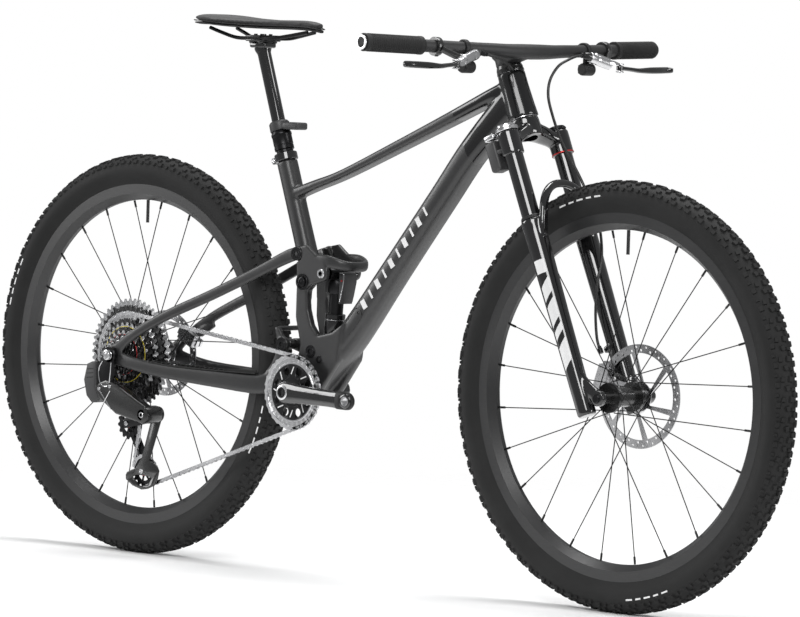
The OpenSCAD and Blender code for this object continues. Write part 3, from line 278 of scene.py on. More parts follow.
def bake(obj):
    """Apply the piece's modifiers to its mesh."""
    graph = bpy.context.evaluated_depsgraph_get()
    mesh = bpy.data.meshes.new_from_object(obj.evaluated_get(graph))
    obj.modifiers.clear()
    old = obj.data
    obj.data = mesh
    mesh.name = old.name
    bpy.data.meshes.remove(old)
    return obj


def cut_away(obj, cutter):
    """Take a cutter's shape out of a piece, and drop the cutter."""
    step = obj.modifiers.new("cut", "BOOLEAN")
    step.operation = "DIFFERENCE"
    step.solver = "EXACT"
    step.object = cutter
    bake(obj)
    bpy.data.objects.remove(cutter)
    return obj


def melt(obj, voxel, rounds, angle=180):
    """Run overlapping shapes into one skin with rounded joints."""
    step = obj.modifiers.new("skin", "REMESH")
    step.mode = "VOXEL"
    step.voxel_size = voxel * MM
    soft = obj.modifiers.new("soft", "SMOOTH")
    soft.factor = 0.5
    soft.iterations = rounds
    bake(obj)
    soften(obj.data, angle)
    return obj


def fit(obj, body, slot, *nodes):
    """Give a piece its body and hide the nodes it stands for; slot is not used."""
    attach(obj, body)
    if nodes:
        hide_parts(*nodes)
    return obj


# ---------------------------------------------------------------- finishes
class Nodes:
    """A short way to lay out one material."""

    def __init__(self, name):
        self.mat = bpy.data.materials.new(name)
        self.mat.use_nodes = True
        self.tree = self.mat.node_tree
        self.skin = self.tree.nodes["Principled BSDF"]
        self.where = self.add("ShaderNodeTexCoord").outputs["Object"]

    def add(self, kind, **values):
        node = self.tree.nodes.new(kind)
        for key, value in values.items():
            setattr(node, key, value)
        return node

    def join(self, out, into):
        self.tree.links.new(out, into)

    def noise(self, scale, detail=3.0, rough=0.55, stretch=(1, 1, 1), turn=(0, 0, 0)):
        node = self.add("ShaderNodeTexNoise")
        node.inputs["Scale"].default_value = scale
        node.inputs["Detail"].default_value = detail
        node.inputs["Roughness"].default_value = rough
        self.join(self.place(stretch, turn), node.inputs["Vector"])
        return node.outputs["Fac"]

    def place(self, stretch=(1, 1, 1), turn=(0, 0, 0), move=(0, 0, 0)):
        node = self.add("ShaderNodeMapping", vector_type="TEXTURE" if move != (0, 0, 0) else "POINT")
        node.inputs["Location"].default_value = move
        node.inputs["Scale"].default_value = stretch
        node.inputs["Rotation"].default_value = turn
        self.join(self.where, node.inputs["Vector"])
        return node.outputs["Vector"]

    def cells(self, scale, feature="F1", stretch=(1, 1, 1)):
        node = self.add("ShaderNodeTexVoronoi", feature=feature)
        node.inputs["Scale"].default_value = scale
        self.join(self.place(stretch), node.inputs["Vector"])
        return node.outputs["Distance"]

    def band(self, value, low, high, first=0.0, last=1.0):
        node = self.add("ShaderNodeMapRange", interpolation_type="SMOOTHSTEP")
        for key, number in (("From Min", low), ("From Max", high), ("To Min", first),
                            ("To Max", last)):
            node.inputs[key].default_value = number
        self.join(value, node.inputs["Value"])
        return node.outputs["Result"]

    def math(self, kind, a, b):
        node = self.add("ShaderNodeMath", operation=kind)
        for socket, value in zip(node.inputs, (a, b)):
            if isinstance(value, (int, float)):
                socket.default_value = value
            else:
                self.join(value, socket)
        return node.outputs[0]

    def blend(self, share, a, b):
        node = self.add("ShaderNodeMix", data_type="RGBA")
        self.join(share, node.inputs["Factor"])
        for socket, value in ((node.inputs[6], a), (node.inputs[7], b)):
            if isinstance(value, tuple):
                socket.default_value = (*value, 1)
            else:
                self.join(value, socket)
        return node.outputs[2]

    def bump(self, height, strength, distance, onto=None):
        node = self.add("ShaderNodeBump")
        node.inputs["Strength"].default_value = strength
        node.inputs["Distance"].default_value = distance
        self.join(height, node.inputs["Height"])
        if onto is not None:
            self.join(onto, node.inputs["Normal"])
        self.join(node.outputs["Normal"], self.skin.inputs["Normal"])
        return node.outputs["Normal"]

    def colour(self, value):
        self.join(value, self.skin.inputs["Base Color"])

    def rough(self, value):
        self.join(value, self.skin.inputs["Roughness"])

    def set(self, **values):
        for key, value in values.items():
            self.skin.inputs[key.replace("_", " ")].default_value = value


def finish(name, tone, shade, rough, metal=0.0, coat=0.0, grain=600.0, depth=0.0002,
           strength=0.15, cloud=9.0, stretch=(1, 1, 1), coat_rough=0.05, sheen=0.0):
    """A surface whose colour, roughness and grain all wander a little."""
    n = Nodes(name)
    drift = n.noise(cloud, 4)
    fine = n.noise(grain, 2, stretch=stretch)
    n.colour(n.blend(n.band(n.math("ADD", n.math("MULTIPLY", drift, 0.7),
                                   n.math("MULTIPLY", fine, 0.3)), 0.35, 0.65), tone, shade))
    n.rough(n.band(n.math("ADD", n.math("MULTIPLY", drift, 0.5),
                          n.math("MULTIPLY", fine, 0.5)), 0.3, 0.7, rough[0], rough[1]))
    n.bump(fine, strength, depth)
    n.skin.inputs["Metallic"].default_value = metal
    n.skin.inputs["Coat Weight"].default_value = coat
    n.skin.inputs["Coat Roughness"].default_value = coat_rough
    n.skin.inputs["Sheen Weight"].default_value = sheen
    if metal == 0 and rough[0] > 0.4:
        n.skin.inputs["Specular IOR Level"].default_value = 0.3
    return n.mat


def carbon(name, tone, shade, rough, coat, gloss_cut=None):
    """Satin carbon: faint fibre lines under the paint, with gloss paint beyond a slanted line."""
    n = Nodes(name)
    fibre = n.noise(90, 3, stretch=(1, 8, 14), turn=(0, 0.55, 0))
    drift = n.noise(6, 4)
    grit = n.noise(1500, 2)
    base = n.blend(n.band(n.math("ADD", n.math("MULTIPLY", fibre, 0.55),
                                 n.math("MULTIPLY", drift, 0.45)), 0.36, 0.64), tone, shade)
    even = n.band(n.math("ADD", n.math("MULTIPLY", drift, 0.6), n.math("MULTIPLY", grit, 0.4)),
                  0.3, 0.7, rough[0], rough[1])
    if gloss_cut:
        spot, lean, wide = gloss_cut
        parts = n.add("ShaderNodeSeparateXYZ")
        n.join(n.where, parts.inputs[0])
        slant = n.math("ADD", n.math("MULTIPLY", parts.outputs["X"], lean[0]),
                       n.math("MULTIPLY", parts.outputs["Z"], lean[1]))
        share = n.band(slant, spot, spot + wide)
        base = n.blend(share, base, (0.006, 0.006, 0.0065))
        flat = n.add("ShaderNodeMix", data_type="FLOAT")
        n.join(share, flat.inputs[0])
        n.join(even, flat.inputs[2])
        flat.inputs[3].default_value = 0.09
        even = flat.outputs[0]
    n.colour(base)
    n.rough(even)
    n.bump(grit, 0.05, 0.0001)
    n.skin.inputs["Coat Weight"].default_value = coat
    n.skin.inputs["Coat Roughness"].default_value = 0.25
    return n.mat


satin = carbon("frame_satin", (0.014, 0.014, 0.0145), (0.021, 0.021, 0.0215), (0.36, 0.47), 0.25)
frame_paint = carbon("frame_paint", (0.014, 0.014, 0.0145), (0.021, 0.021, 0.0215), (0.36, 0.47),
                     0.35, (0.590, (0.86, 0.51), 0.004))
gloss = finish("gloss_black", (0.005, 0.005, 0.0055), (0.008, 0.008, 0.0085), (0.06, 0.11),
               coat=1.0, grain=300, strength=0.02)
rim_carbon = carbon("rim_carbon", (0.010, 0.010, 0.0105), (0.017, 0.017, 0.0175), (0.34, 0.46), 0.3)
anodised = finish("black_anodised", (0.012, 0.012, 0.013), (0.02, 0.02, 0.021), (0.26, 0.38),
                  metal=0.75, grain=1400, strength=0.08)
black_paint = finish("black_paint", (0.008, 0.008, 0.008), (0.013, 0.013, 0.013), (0.22, 0.32),
                     coat=0.5, grain=900, strength=0.05)
silver = finish("silver_alloy", (0.62, 0.62, 0.63), (0.78, 0.78, 0.79), (0.18, 0.30), metal=1.0,
                grain=500, stretch=(1, 6, 1), strength=0.10)
bright = finish("bright_steel", (0.70, 0.70, 0.71), (0.86, 0.86, 0.87), (0.12, 0.22), metal=1.0,
                grain=900, strength=0.06)
rotor_steel = finish("rotor_steel", (0.50, 0.50, 0.51), (0.68, 0.68, 0.69), (0.20, 0.34),
                     metal=1.0, grain=1200, stretch=(1, 1, 1), strength=0.18)
chain_steel = finish("chain_steel", (0.52, 0.52, 0.53), (0.70, 0.70, 0.71), (0.22, 0.34),
                     metal=1.0, grain=700, strength=0.10)
spoke_black = finish("spoke_black", (0.010, 0.010, 0.010), (0.018, 0.018, 0.018), (0.28, 0.38),
                     metal=0.5, grain=900, strength=0.05)
tread_rubber = finish("tread_rubber", (0.009, 0.009, 0.009), (0.016, 0.016, 0.016), (0.62, 0.78),
                      grain=420, depth=0.0004, strength=0.35, cloud=14)
grip_rubber = finish("grip_rubber", (0.014, 0.014, 0.014), (0.022, 0.022, 0.022), (0.58, 0.72),
                     grain=900, depth=0.0003, strength=0.25)
plastic = finish("moulded_plastic", (0.014, 0.014, 0.0145), (0.022, 0.022, 0.0225), (0.42, 0.55),
                 grain=1500, depth=0.0002, strength=0.2)
charcoal = finish("charcoal_plastic", (0.030, 0.030, 0.031), (0.045, 0.045, 0.046), (0.38, 0.5),
                  grain=1300, strength=0.15)
hose_black = finish("hose_black", (0.010, 0.010, 0.010), (0.016, 0.016, 0.016), (0.34, 0.45),
                    grain=1100, strength=0.12)
cockpit_matt = carbon("cockpit_matt", (0.015, 0.015, 0.0155), (0.022, 0.022, 0.0225),
                      (0.46, 0.58), 0.05)
red_mark = finish("red_anodised", (0.45, 0.02, 0.02), (0.58, 0.03, 0.03), (0.25, 0.35), metal=0.5,
                  grain=900)
yellow_mark = finish("yellow_anodised", (0.75, 0.60, 0.02), (0.85, 0.68, 0.03), (0.3, 0.4),
                     metal=0.2, grain=900)
white_mark = finish("white_mark", (0.72, 0.72, 0.72), (0.80, 0.80, 0.80), (0.35, 0.45), grain=900)
grey_mark = finish("grey_mark", (0.30, 0.30, 0.30), (0.36, 0.36, 0.36), (0.35, 0.45), grain=900)


# ---------------------------------------------------------------- camera, light and floor
def set_camera():
    yaw, pitch, roll = (math.radians(a) for a in (42.63, 3.02, 1.74))
    back = Vector((math.sin(yaw) * math.cos(pitch), -math.cos(yaw) * math.cos(pitch),
                   math.sin(pitch)))
    right = (-back).cross(Z_AXIS).normalized()
    up = right.cross(-back)
    side = right * math.cos(roll) + up * math.sin(roll)
    top = up * math.cos(roll) - right * math.sin(roll)
    data = bpy.data.cameras.new("camera")
    data.sensor_width = 36
    data.lens = 235.5
    data.clip_end = 200
    cam = bpy.data.objects.new("camera", data)
    cam.matrix_world = Matrix.Translation((6.354, -6.838, 0.983)) @ Matrix(
        (side, top, back)).transposed().to_4x4()
    bpy.context.scene.collection.objects.link(cam)
    bpy.context.scene.camera = cam


def area_light(name, place, aim, size, power):
    """A rectangular softbox aimed at a place."""
    data = bpy.data.lights.new(name, "AREA")
    data.shape = "RECTANGLE"
    data.size, data.size_y = size
    data.energy = power
    obj = bpy.data.objects.new(name, data)
    back = (Vector(place) - Vector(aim)).normalized()
    obj.matrix_world = frame_at(Vector(place), back, Z_AXIS.cross(back))
    bpy.context.scene.collection.objects.link(obj)


def set_studio():
    """White surroundings, softboxes, a floor that fades out, and the Standard view."""
    world = bpy.data.worlds.new("studio")
    world.use_nodes = True
    tree = world.node_tree
    lit = tree.nodes["Background"]
    lit.inputs["Color"].default_value = (0.93, 0.94, 0.95, 1)
    lit.inputs["Strength"].default_value = 0.32
    seen = tree.nodes.new("ShaderNodeBackground")
    seen.inputs["Color"].default_value = (1, 1, 1, 1)
    seen.inputs["Strength"].default_value = 1.0
    rays = tree.nodes.new("ShaderNodeLightPath")
    mix = tree.nodes.new("ShaderNodeMixShader")
    tree.links.new(rays.outputs["Is Camera Ray"], mix.inputs["Fac"])
    tree.links.new(lit.outputs["Background"], mix.inputs[1])
    tree.links.new(seen.outputs["Background"], mix.inputs[2])
    tree.links.new(mix.outputs["Shader"], tree.nodes["World Output"].inputs["Surface"])
    bpy.context.scene.world = world
    bpy.context.scene.view_settings.view_transform = "Standard"
    area_light("key", (2.6, -3.6, 3.4), (0, 0, 0.5), (2.6, 2.2), 150)
    area_light("side", (-3.8, -2.2, 1.8), (0, 0, 0.6), (1.6, 2.4), 70)
    area_light("front", (4.6, 1.2, 1.6), (0.3, 0, 0.6), (1.2, 2.4), 70)
    area_light("top", (-0.4, 0.6, 4.2), (0, 0, 0.4), (3.4, 1.6), 150)
    bm = bmesh.new()
    bmesh.ops.create_circle(bm, cap_ends=True, radius=3.4 / MM, segments=96)
    paint = Nodes("studio_floor")
    paint.colour(paint.blend(paint.noise(0.6, 3), (0.93, 0.93, 0.93), (0.95, 0.95, 0.95)))
    paint.set(Roughness=0.75)
    tree = paint.tree
    shader = next(n for n in tree.nodes if n.type == "BSDF_PRINCIPLED")
    place = tree.nodes.new("ShaderNodeTexCoord")
    far = tree.nodes.new("ShaderNodeVectorMath")
    far.operation = "LENGTH"
    fade = tree.nodes.new("ShaderNodeMapRange")
    fade.inputs["From Min"].default_value = 0.9
    fade.inputs["From Max"].default_value = 2.4
    clear = tree.nodes.new("ShaderNodeBsdfTransparent")
    mix = tree.nodes.new("ShaderNodeMixShader")
    out = next(n for n in tree.nodes if n.type == "OUTPUT_MATERIAL")
    tree.links.new(place.outputs["Object"], far.inputs[0])
    tree.links.new(far.outputs["Value"], fade.inputs["Value"])
    tree.links.new(fade.outputs["Result"], mix.inputs["Fac"])
    tree.links.new(shader.outputs["BSDF"], mix.inputs[1])
    tree.links.new(clear.outputs["BSDF"], mix.inputs[2])
    tree.links.new(mix.outputs["Shader"], out.inputs["Surface"])
    floor = make("studio_floor", bm, paint.mat)


set_camera()
set_studio()


# ---------------------------------------------------------------- wheels
TREAD_STEPS = 68
# Knobs of one pitch: share of the pitch, lean round the carcass, length, width, height, twist
TREAD = [(0.10, 7, 11, 9.0, 3.4, 8), (0.36, -7, 11, 9.0, 3.4, -8), (0.62, 21, 10, 8, 3.3, -14),
         (0.80, -21, 10, 8, 3.3, 14), (0.16, 37, 9, 7.5, 3.0, 10), (0.36, -37, 9, 7.5, 3.0, -10),
         (0.55, 55, 10.5, 8.5, 3.4, 0), (0.62, -55, 10.5, 8.5, 3.4, 0),
         (0.08, 58, 5.5, 7.0, 2.8, 0), (0.14, -58, 5.5, 7.0, 2.8, 0), (0.86, 1, 6, 10, 3.2, 0)]


def tyre_piece(name, hub, body, node):
    """A carcass turned about the axle, with knobs in rows round it."""
    carcass = tyre_half - 2.6
    centre = wheel_r - tyre_half
    bm = bmesh.new()
    for share, lean, long, wide, high, twist in TREAD:
        tilt = math.radians(lean)
        knob = bmesh.ops.create_cube(bm, size=1)["verts"]
        bmesh.ops.scale(bm, vec=(high + 1.8, wide, long), verts=knob)
        bmesh.ops.scale(bm, vec=(1, 0.78, 0.78), verts=[v for v in knob if v.co.x > 0])
        bmesh.ops.rotate(bm, cent=(0, 0, 0), verts=knob,
                         matrix=Matrix.Rotation(math.radians(twist), 3, "X"))
        bmesh.ops.translate(bm, vec=(carcass + high / 2 - 0.9, 0, 0), verts=knob)
        bmesh.ops.rotate(bm, cent=(0, 0, 0), verts=knob, matrix=Matrix.Rotation(tilt, 3, "Z"))
        bmesh.ops.translate(bm, vec=(centre, 0, 0), verts=knob)
        bmesh.ops.rotate(bm, cent=(0, 0, 0), verts=knob,
                         matrix=Matrix.Rotation(math.tau * share / TREAD_STEPS, 3, "Y"))
    bmesh.ops.spin(bm, geom=bm.verts[:] + bm.edges[:] + bm.faces[:], cent=(0, 0, 0),
                   axis=(0, 1, 0), angle=math.tau * (TREAD_STEPS - 1) / TREAD_STEPS,
                   steps=TREAD_STEPS - 1, use_duplicate=True)
    bmesh.ops.translate(bm, vec=hub, verts=bm.verts)
    rim_low, rim_high = low_high(name.split("_")[0] + "_rim")
    rim_r = (rim_high.x - rim_low.x) / 2
    bead = (rim_high.y - rim_low.y) / 2 - 1.4
    section = [[rim_r - 3, -bead], [rim_r + 1, -bead - 1]]
    for turn in range(-126, 127, 6):
        a = math.radians(turn)
        swell = 0.5 if abs(turn) in (84, 96, 108) else 0.0
        section.append([centre + (carcass + swell) * math.cos(a), (carcass + swell) * math.sin(a)])
    section += [[rim_r + 1, bead + 1], [rim_r - 3, bead]]
    for turn in range(120, -121, -20):
        a = math.radians(turn)
        section.append([centre + (carcass - 2) * math.cos(a), (carcass - 2) * math.sin(a)])
    section.append(section[0])
    lathe(bm, section, hub, Y_AXIS, 120)
    obj = make(name, bm, tread_rubber, 30)
    return fit(obj, body, "tyre_rubber", node)


def sidewall_marks(name, hub, body, turns, paint, r_mid=343, long=14, high=9, gap=20, count=5):
    """Plain painted blocks on the drive side of a tyre."""
    bm = bmesh.new()
    for turn in turns:
        for k in range(count):
            a = math.radians(turn) + (k - (count - 1) / 2) * gap / r_mid
            place = turned(hub, a)
            lean = Matrix.Rotation(math.radians(-4), 4, "Z")
            block(bm, (high, 0.8, long * (0.8 if k % 2 else 1)),
                  place @ Matrix.Translation((r_mid, -tyre_half + 3.0, 0)) @ lean, 0.2, 1)
    obj = make(name, bm, paint, 30)
    return fit(obj, body, "tyre_rubber")


tyre_piece("front_tread", front_axle, "front_wheel", "front_tyre")
tyre_piece("rear_tread", rear_axle, "rear_wheel", "rear_tyre")

# ---------------------------------------------------------------- front triangle
rear_of_top_tube = at(seat_top.lerp(rocker, 0.31), 0, 8)
front_of_top_tube = on_steer(-12, 0, 588)


def along_top(share, lift, wide, high):
    p = rear_of_top_tube.lerp(front_of_top_tube, share)
    return [p.x, 0, p.z + lift, wide, high]


foot = at(rocker, -14, -4)
low_down = at(bb, 99, 108)
high_down = on_steer(0, 0, 569) + Vector((-95, 0, -97))


def between(a, b, share, wide, high):
    p = a.lerp(b, share)
    return [p.x, 0, p.z, wide, high]


bm = bmesh.new()
flow(bm, [between(seat_top, foot, 0.004, 18.1, 18.1), between(seat_top, foot, 0.35, 18, 18),
          between(seat_top, foot, 0.68, 18.5, 18), between(seat_top, foot, 0.82, 21, 18),
          between(seat_top, foot, 1, 32.5, 16), [foot.x + 2, 0, foot.z - 26, 33.5, 13]], 6)
flow(bm, [[bb.x + 8, 0, bb.z + 14, 34, 22], [bb.x + 45, 0, bb.z + 60, 34, 29],
          [low_down.x, 0, low_down.z, 31, 25], between(low_down, high_down, 0.35, 28, 23),
          between(low_down, high_down, 0.75, 27, 22.5), between(low_down, high_down, 1, 26, 24),
          [*on_steer(-6, 0, 566), 22, 30]], 6, power=3.0)
flow(bm, [along_top(0, 0, 16, 11), along_top(0.10, -3, 17, 9.5), along_top(0.24, -8, 18, 8.5),
          along_top(0.50, -6, 18, 10), along_top(0.75, -3, 20, 11.5), along_top(0.92, 0, 22, 13),
          along_top(1, 0, 20, 15)], 8, power=3.2)
for y_low, y_high in ((-34, -20), (20, 34)):
    outline_plate(bm, (
        at(rocker, -26, 12), at(rocker, 10, 8), at(rocker, 1, -20), at(rocker, 3, -48),
        at(bb, 22, 122), at(bb, 38, 104), at(bb, 72, 112), at(bb, 100, 130), at(bb, 90, 60),
        at(bb, 45, 0), at(bb, 0, -22), at(bb, -20, -8), at(bb, -22, 12), at(bb, -10, 60),
        at(bb, -5, 86), at(rocker, -27, -66), at(rocker, -27, -20)), y_low, y_high, 2.5)
    middle_y = (y_low + y_high) / 2
    button(bm, 14, -7, 7, at(rocker, y=middle_y), soft=2)
button(bm, 26, -36.4, 36.4, bb, soft=1.5)
lathe(bm, [[0, 527], [26.9, 527], [25.6, 550], [24.4, 585], [24.4, 611.5], [0, 611.5]],
      steer_home, steer_up, 48)
front_frame = melt(make("main_frame_skin", bm, frame_paint, 180), 2.4, 6)
bm = bmesh.new()
outline_plate(bm, (
    at(rocker, -40, 17), at(rocker, 60, 17), at(rocker, 70, -30), at(bb, 100, 160),
    at(shock_low, 30, 12), at(shock_low, 14, -16), at(link_low, -8, -18), at(bb, -40, 60),
    at(bb, -50, 120)), -20, 20, 0)
cut_away(front_frame, make("pocket", bm, satin, 30))
bm = bmesh.new()
outline_plate(bm, (
    at(link_rear, -20, 24), at(link_rear, 12, 30), at(link_rear, 19, 0), at(link_rear, 12, -24),
    at(link_rear, -20, -24)), -43, 43, 0)
cut_away(front_frame, make("link_room", bm, frame_paint, 30))
soften(front_frame.data, 50)
fit(front_frame, "frame", "carbon_satin", "front_triangle")

# Port cover low on the down tube, cable port rings and accessory bolts
bm = bmesh.new()
down_dir = (high_down - low_down).normalized()
down_side = down_dir.cross(Y_AXIS)
for side in (-1, 1):
    mid = low_down + down_dir * 34
    loop = []
    for k in range(24):
        a = math.tau * k / 24
        c, s = math.cos(a), math.sin(a)
        loop.append(mid + down_dir * 27 * math.copysign(abs(c) ** 0.6, c)
                    + down_side * 12 * math.copysign(abs(s) ** 0.6, s)
                    + Y_AXIS * side * 29.6)
    wire(bm, loop, 0.55, 6, closed=True, ref=(0, 1, 0))
    hex_bolt(bm, 2.6, mid + down_dir * 20 + Y_AXIS * side * 30.0, Y_AXIS * side, 0.5)
fit(make("down_tube_port", bm, black_paint), "frame", "carbon_satin")
bm = bmesh.new()
for mount in frame["record"].get("mounts", []):
    if "boss" in mount.get("name", "") and "pos_m" in mount:
        hex_bolt(bm, 4, Vector(mount["pos_m"]) / MM, Vector(mount["axis"]), 1.2)
fit(make("accessory_bolts", bm, anodised), "frame", "black_steel")

# Bottom bracket cups and the pivot hardware of the frame
bm = bmesh.new()
for side in (-1, 1):
    lathe(bm, [[14.1, 37], [21, 37], [21.9, 38], [21.9, 43], [21, 43.9], [14.1, 43.9], [14.1, 37]],
          bb, Y_AXIS * side, 56)
    for k in range(16):
        a = math.tau * k / 16
        block(bm, (1.6, 4.4, 2.6), turned(bb, a)
              @ Matrix.Translation((21.3, side * 40.6, 0)), 0.4, 1)
fit(make("bearing_cups", bm, anodised), "frame", "black_anodised", "bottom_bracket")
bm = bmesh.new()
for side in (-1, 1):
    ring_band(bm, 11.0, 14.6, 1.2, at(rocker, y=side * 46.8), soft=0.5)
    button(bm, 9, 45.6, 48.2, rocker, Y_AXIS * side, 0.8)
    hex_bolt(bm, 6.6, at(rocker, y=side * 47.6), Y_AXIS * side, 1.2, 0.62)
    hex_bolt(bm, 9, at(link_low, y=side * 34.2), Y_AXIS * side, 1.6, 0.5)
    ring_band(bm, 9.4, 11.6, 1.0, at(link_low, y=side * 34.2), soft=0.4)
    hex_bolt(bm, 7, at(shock_low, y=side * 34.0), Y_AXIS * side, 1.2, 0.5)
fit(make("pivot_bolts", bm, anodised), "frame", "black_steel", "frame_bolts")

# ---------------------------------------------------------------- rear end
bm = bmesh.new()
for side in (-1, 1):
    flow(bm, [[rear_axle.x + 6, side * 77.9, wheel_r - 4, 3.6, 14],
              [rear_axle.x + 50, side * 77, wheel_r - 13, 5.6, 12],
              [rear_axle.x + 120, side * 70, wheel_r - 22, 6.8, 13],
              [rear_axle.x + 250, side * 58, wheel_r - 29, 6.8, 16],
              [link_rear.x - 50, side * 46, bb.z + 8, 6.3, 18],
              [link_rear.x - 22, side * 41.5, bb.z + 26, 5.4, 19],
              [link_rear.x - 8, side * 41, bb.z + 54, 5.4, 15],
              [link_rear.x - 1, side * 41, link_rear.z, 5.4, 12]], 6, power=3)
    flow(bm, [[rear_axle.x + 2, side * 77.9, wheel_r + 6, 3.6, 13],
              [rear_axle.x + 45, side * 76, wheel_r + 38, 5.6, 9],
              [rear_axle.x + 120, side * 67, wheel_r + 78, 5.8, 9.5],
              [rear_axle.x + 230, side * 56, wheel_r + 124, 5.8, 10],
              [rocker_rear.x - 100, side * 47, rocker_rear.z - 41, 5.8, 10.5],
              [rocker_rear.x - 50, side * 43.5, rocker_rear.z - 18, 5.6, 11.5],
              [rocker_rear.x - 22, side * 42, rocker_rear.z - 6, 4.8, 12.5],
              [rocker_rear.x - 6, side * 41.5, rocker_rear.z - 1, 4.8, 12]], 6, power=3)
    button(bm, 13, 36.2, 46.3, rocker_rear, Y_AXIS * side, 1.5)
    button(bm, 13, 35.2, 46.8, link_rear, Y_AXIS * side, 1.5)
    button(bm, 19, 74.2, 81.8, rear_axle, Y_AXIS * side, 1.2)
    outline_plate(bm, (
        at(link_rear, -22, 30), at(link_rear, -12, 30), at(link_rear, 4, 8),
        at(link_rear, -12, -8)), min(side * 37, side * 45), max(side * 37, side * 45), 2)
button(bm, 4.8, -41, 41, at(link_rear, -17, 27), soft=1)
outline_plate(bm, (
    at(rear_axle, 58, 40), at(rear_axle, 112, 68), at(rear_axle, 118, 56),
    at(rear_axle, 70, 26)), 64, 71, 1.5)
rear_end = melt(make("rear_triangle", bm, satin, 180), 1.9, 5)
fit(rear_end, "swingarm", "carbon_satin", "swingarm")

bm = bmesh.new()
flow(bm, [[rear_axle.x + 150, -60.6, wheel_r - 14, 1.2, 7],
          [rear_axle.x + 250, -55.5, wheel_r - 17, 1.2, 8],
          [link_rear.x - 62, -46, bb.z + 25, 1.2, 8]], 10, power=4)
flow(bm, [[rear_axle.x + 90, -72.5, wheel_r - 7.8, 6.2, 1.5],
          [rear_axle.x + 150, -67.5, wheel_r - 11.5, 6.8, 1.5],
          [rear_axle.x + 250, -58, wheel_r - 13, 6.8, 1.5],
          [link_rear.x - 60, -47.2, bb.z + 27, 6.3, 1.5]], 10, power=3)
for k in range(16):
    share = k / 15
    x = rear_axle.x + 100 + share * 170
    y = -72.2 + (x - rear_axle.x - 90) * 0.0896
    z = wheel_r - 6.6 - share * 4.6
    block(bm, (3.6, 12.4, 2.4), Matrix.Translation((x, y, z)), 0.8, 1)
fit(make("chainstay_guard", bm, grip_rubber), "swingarm", "black_plastic")

bm = bmesh.new()
lathe(bm, [[0, -98.6], [7, -98.6], [9.4, -97.6], [9.4, -95.6], [6, -95.2], [6, 82.1], [9.4, 82.2],
           [9.4, 85], [8.6, 85.5], [0, 85.5]], rear_axle, Y_AXIS, 40)
hex_bolt(bm, 7.4, at(rear_axle, y=-98.2), -Y_AXIS, 0.6, 0.6)
fit(make("rear_through_axle", bm, silver), "swingarm", "silver_alloy", "rear_axle")

down_slope = math.atan2(high_down.z - low_down.z, high_down.x - low_down.x)
bm = bmesh.new()
for side in (-1, 1):
    for k in range(10):
        share = 0.17 + 0.056 * k
        p = low_down.lerp(high_down, share)
        half = 27.8 + max(0, 0.35 - share) * 8.5 - max(0, share - 0.35) * 2.5
        turn = Matrix.Translation((p.x, side * (half - 0.9), p.z))
        turn = turn @ Matrix.Rotation(-down_slope, 4, "Y")
        turn = turn @ Matrix.Rotation(math.radians(16), 4, "Y")
        block(bm, (5 if k % 2 else 11, 2, 17), turn, 0.4, 1)
fit(make("down_tube_bars", bm, white_mark), "frame", "carbon_satin")

# ---------------------------------------------------------------- upper and lower links
bm = bmesh.new()
for side in (-1, 1):
    low, high = sorted((side * 36.2, side * 45.8))
    outline_plate(bm, (
        at(rocker_rear, 4, 13), at(rocker_rear, 24, 17), at(shock_top, -14, 32),
        at(shock_top, 6, 22), at(shock_top, 15, 4), at(shock_top, 8, -12), at(rocker, 16, -6),
        at(rocker, 6, -14), at(rocker, -8, -13), at(rocker, -15, 0),
        at(rocker_rear, 0, -16)), low, high, 2.5)
    button(bm, 15, 36.2, 45.8, rocker, Y_AXIS * side, 1.5)
    button(bm, 14, 36.2, 45.8, shock_top, Y_AXIS * side, 1.5)
hoop = [(-20, 41, 24, 10, 4.6), (4, 41, 23, 11.5, 4.6), (20, 38.5, 21, 11, 5),
        (36, 31, 17, 9.5, 5.4), (46, 14, 14, 9.5, 6)]
flow(bm, [[shock_top.x + dx, -y, shock_top.z + dz, tall, thick] for dx, y, dz, tall, thick in hoop]
     + [[shock_top.x + dx, y, shock_top.z + dz, tall, thick]
        for dx, y, dz, tall, thick in reversed(hoop)], 6, ref=Vector((0.1, 0, 1)))
rocker_skin = melt(make("rocker_link", bm, satin, 180), 1.5, 5)
cutter = bmesh.new()
button(cutter, 15.4, -60, 60, rocker_rear, Y_AXIS, 0.1)
cut_away(rocker_skin, make("stay_room", cutter, satin))
cutter = bmesh.new()
for side in (-1, 1):
    button(cutter, 10.9, 43.4, 60, rocker, Y_AXIS * side, 0.1)
cut_away(rocker_skin, make("bolt_room", cutter, satin))
soften(rocker_skin.data, 50)
fit(rocker_skin, "upper_link", "carbon_satin", "upper_link")
bm = bmesh.new()
for side in (-1, 1):
    low, high = sorted((side * 28.6, side * 34.4))
    outline_plate(bm, (
        at(rocker_rear, -9, -8), at(rocker_rear, -9, 8), at(rocker_rear, 9, 8),
        at(rocker, 14, 26), at(rocker, -12, 24)), low, high, 1.2)
    button(bm, 7, 30, 37, at(rocker, 0, 28), Y_AXIS * side, 0.5)
fit(make("rocker_ears", bm, black_paint), "upper_link", "carbon_satin")
bm = bmesh.new()
for side in (-1, 1):
    lathe(bm, [[4.3, 0], [4.3, 46], [8.4, 46], [8.6, 47], [7.8, 48.1], [4.4, 48.1]], shock_top,
          Y_AXIS * side, 36)
fit(make("shock_bolt", bm, silver), "upper_link", "silver_alloy")
bm = bmesh.new()
for side in (-1, 1):
    hex_bolt(bm, 4.6, at(shock_top, y=side * 47.2), Y_AXIS * side, 0.8, 0.66)
fit(make("shock_bolt_sockets", bm, anodised), "upper_link", "black_steel")

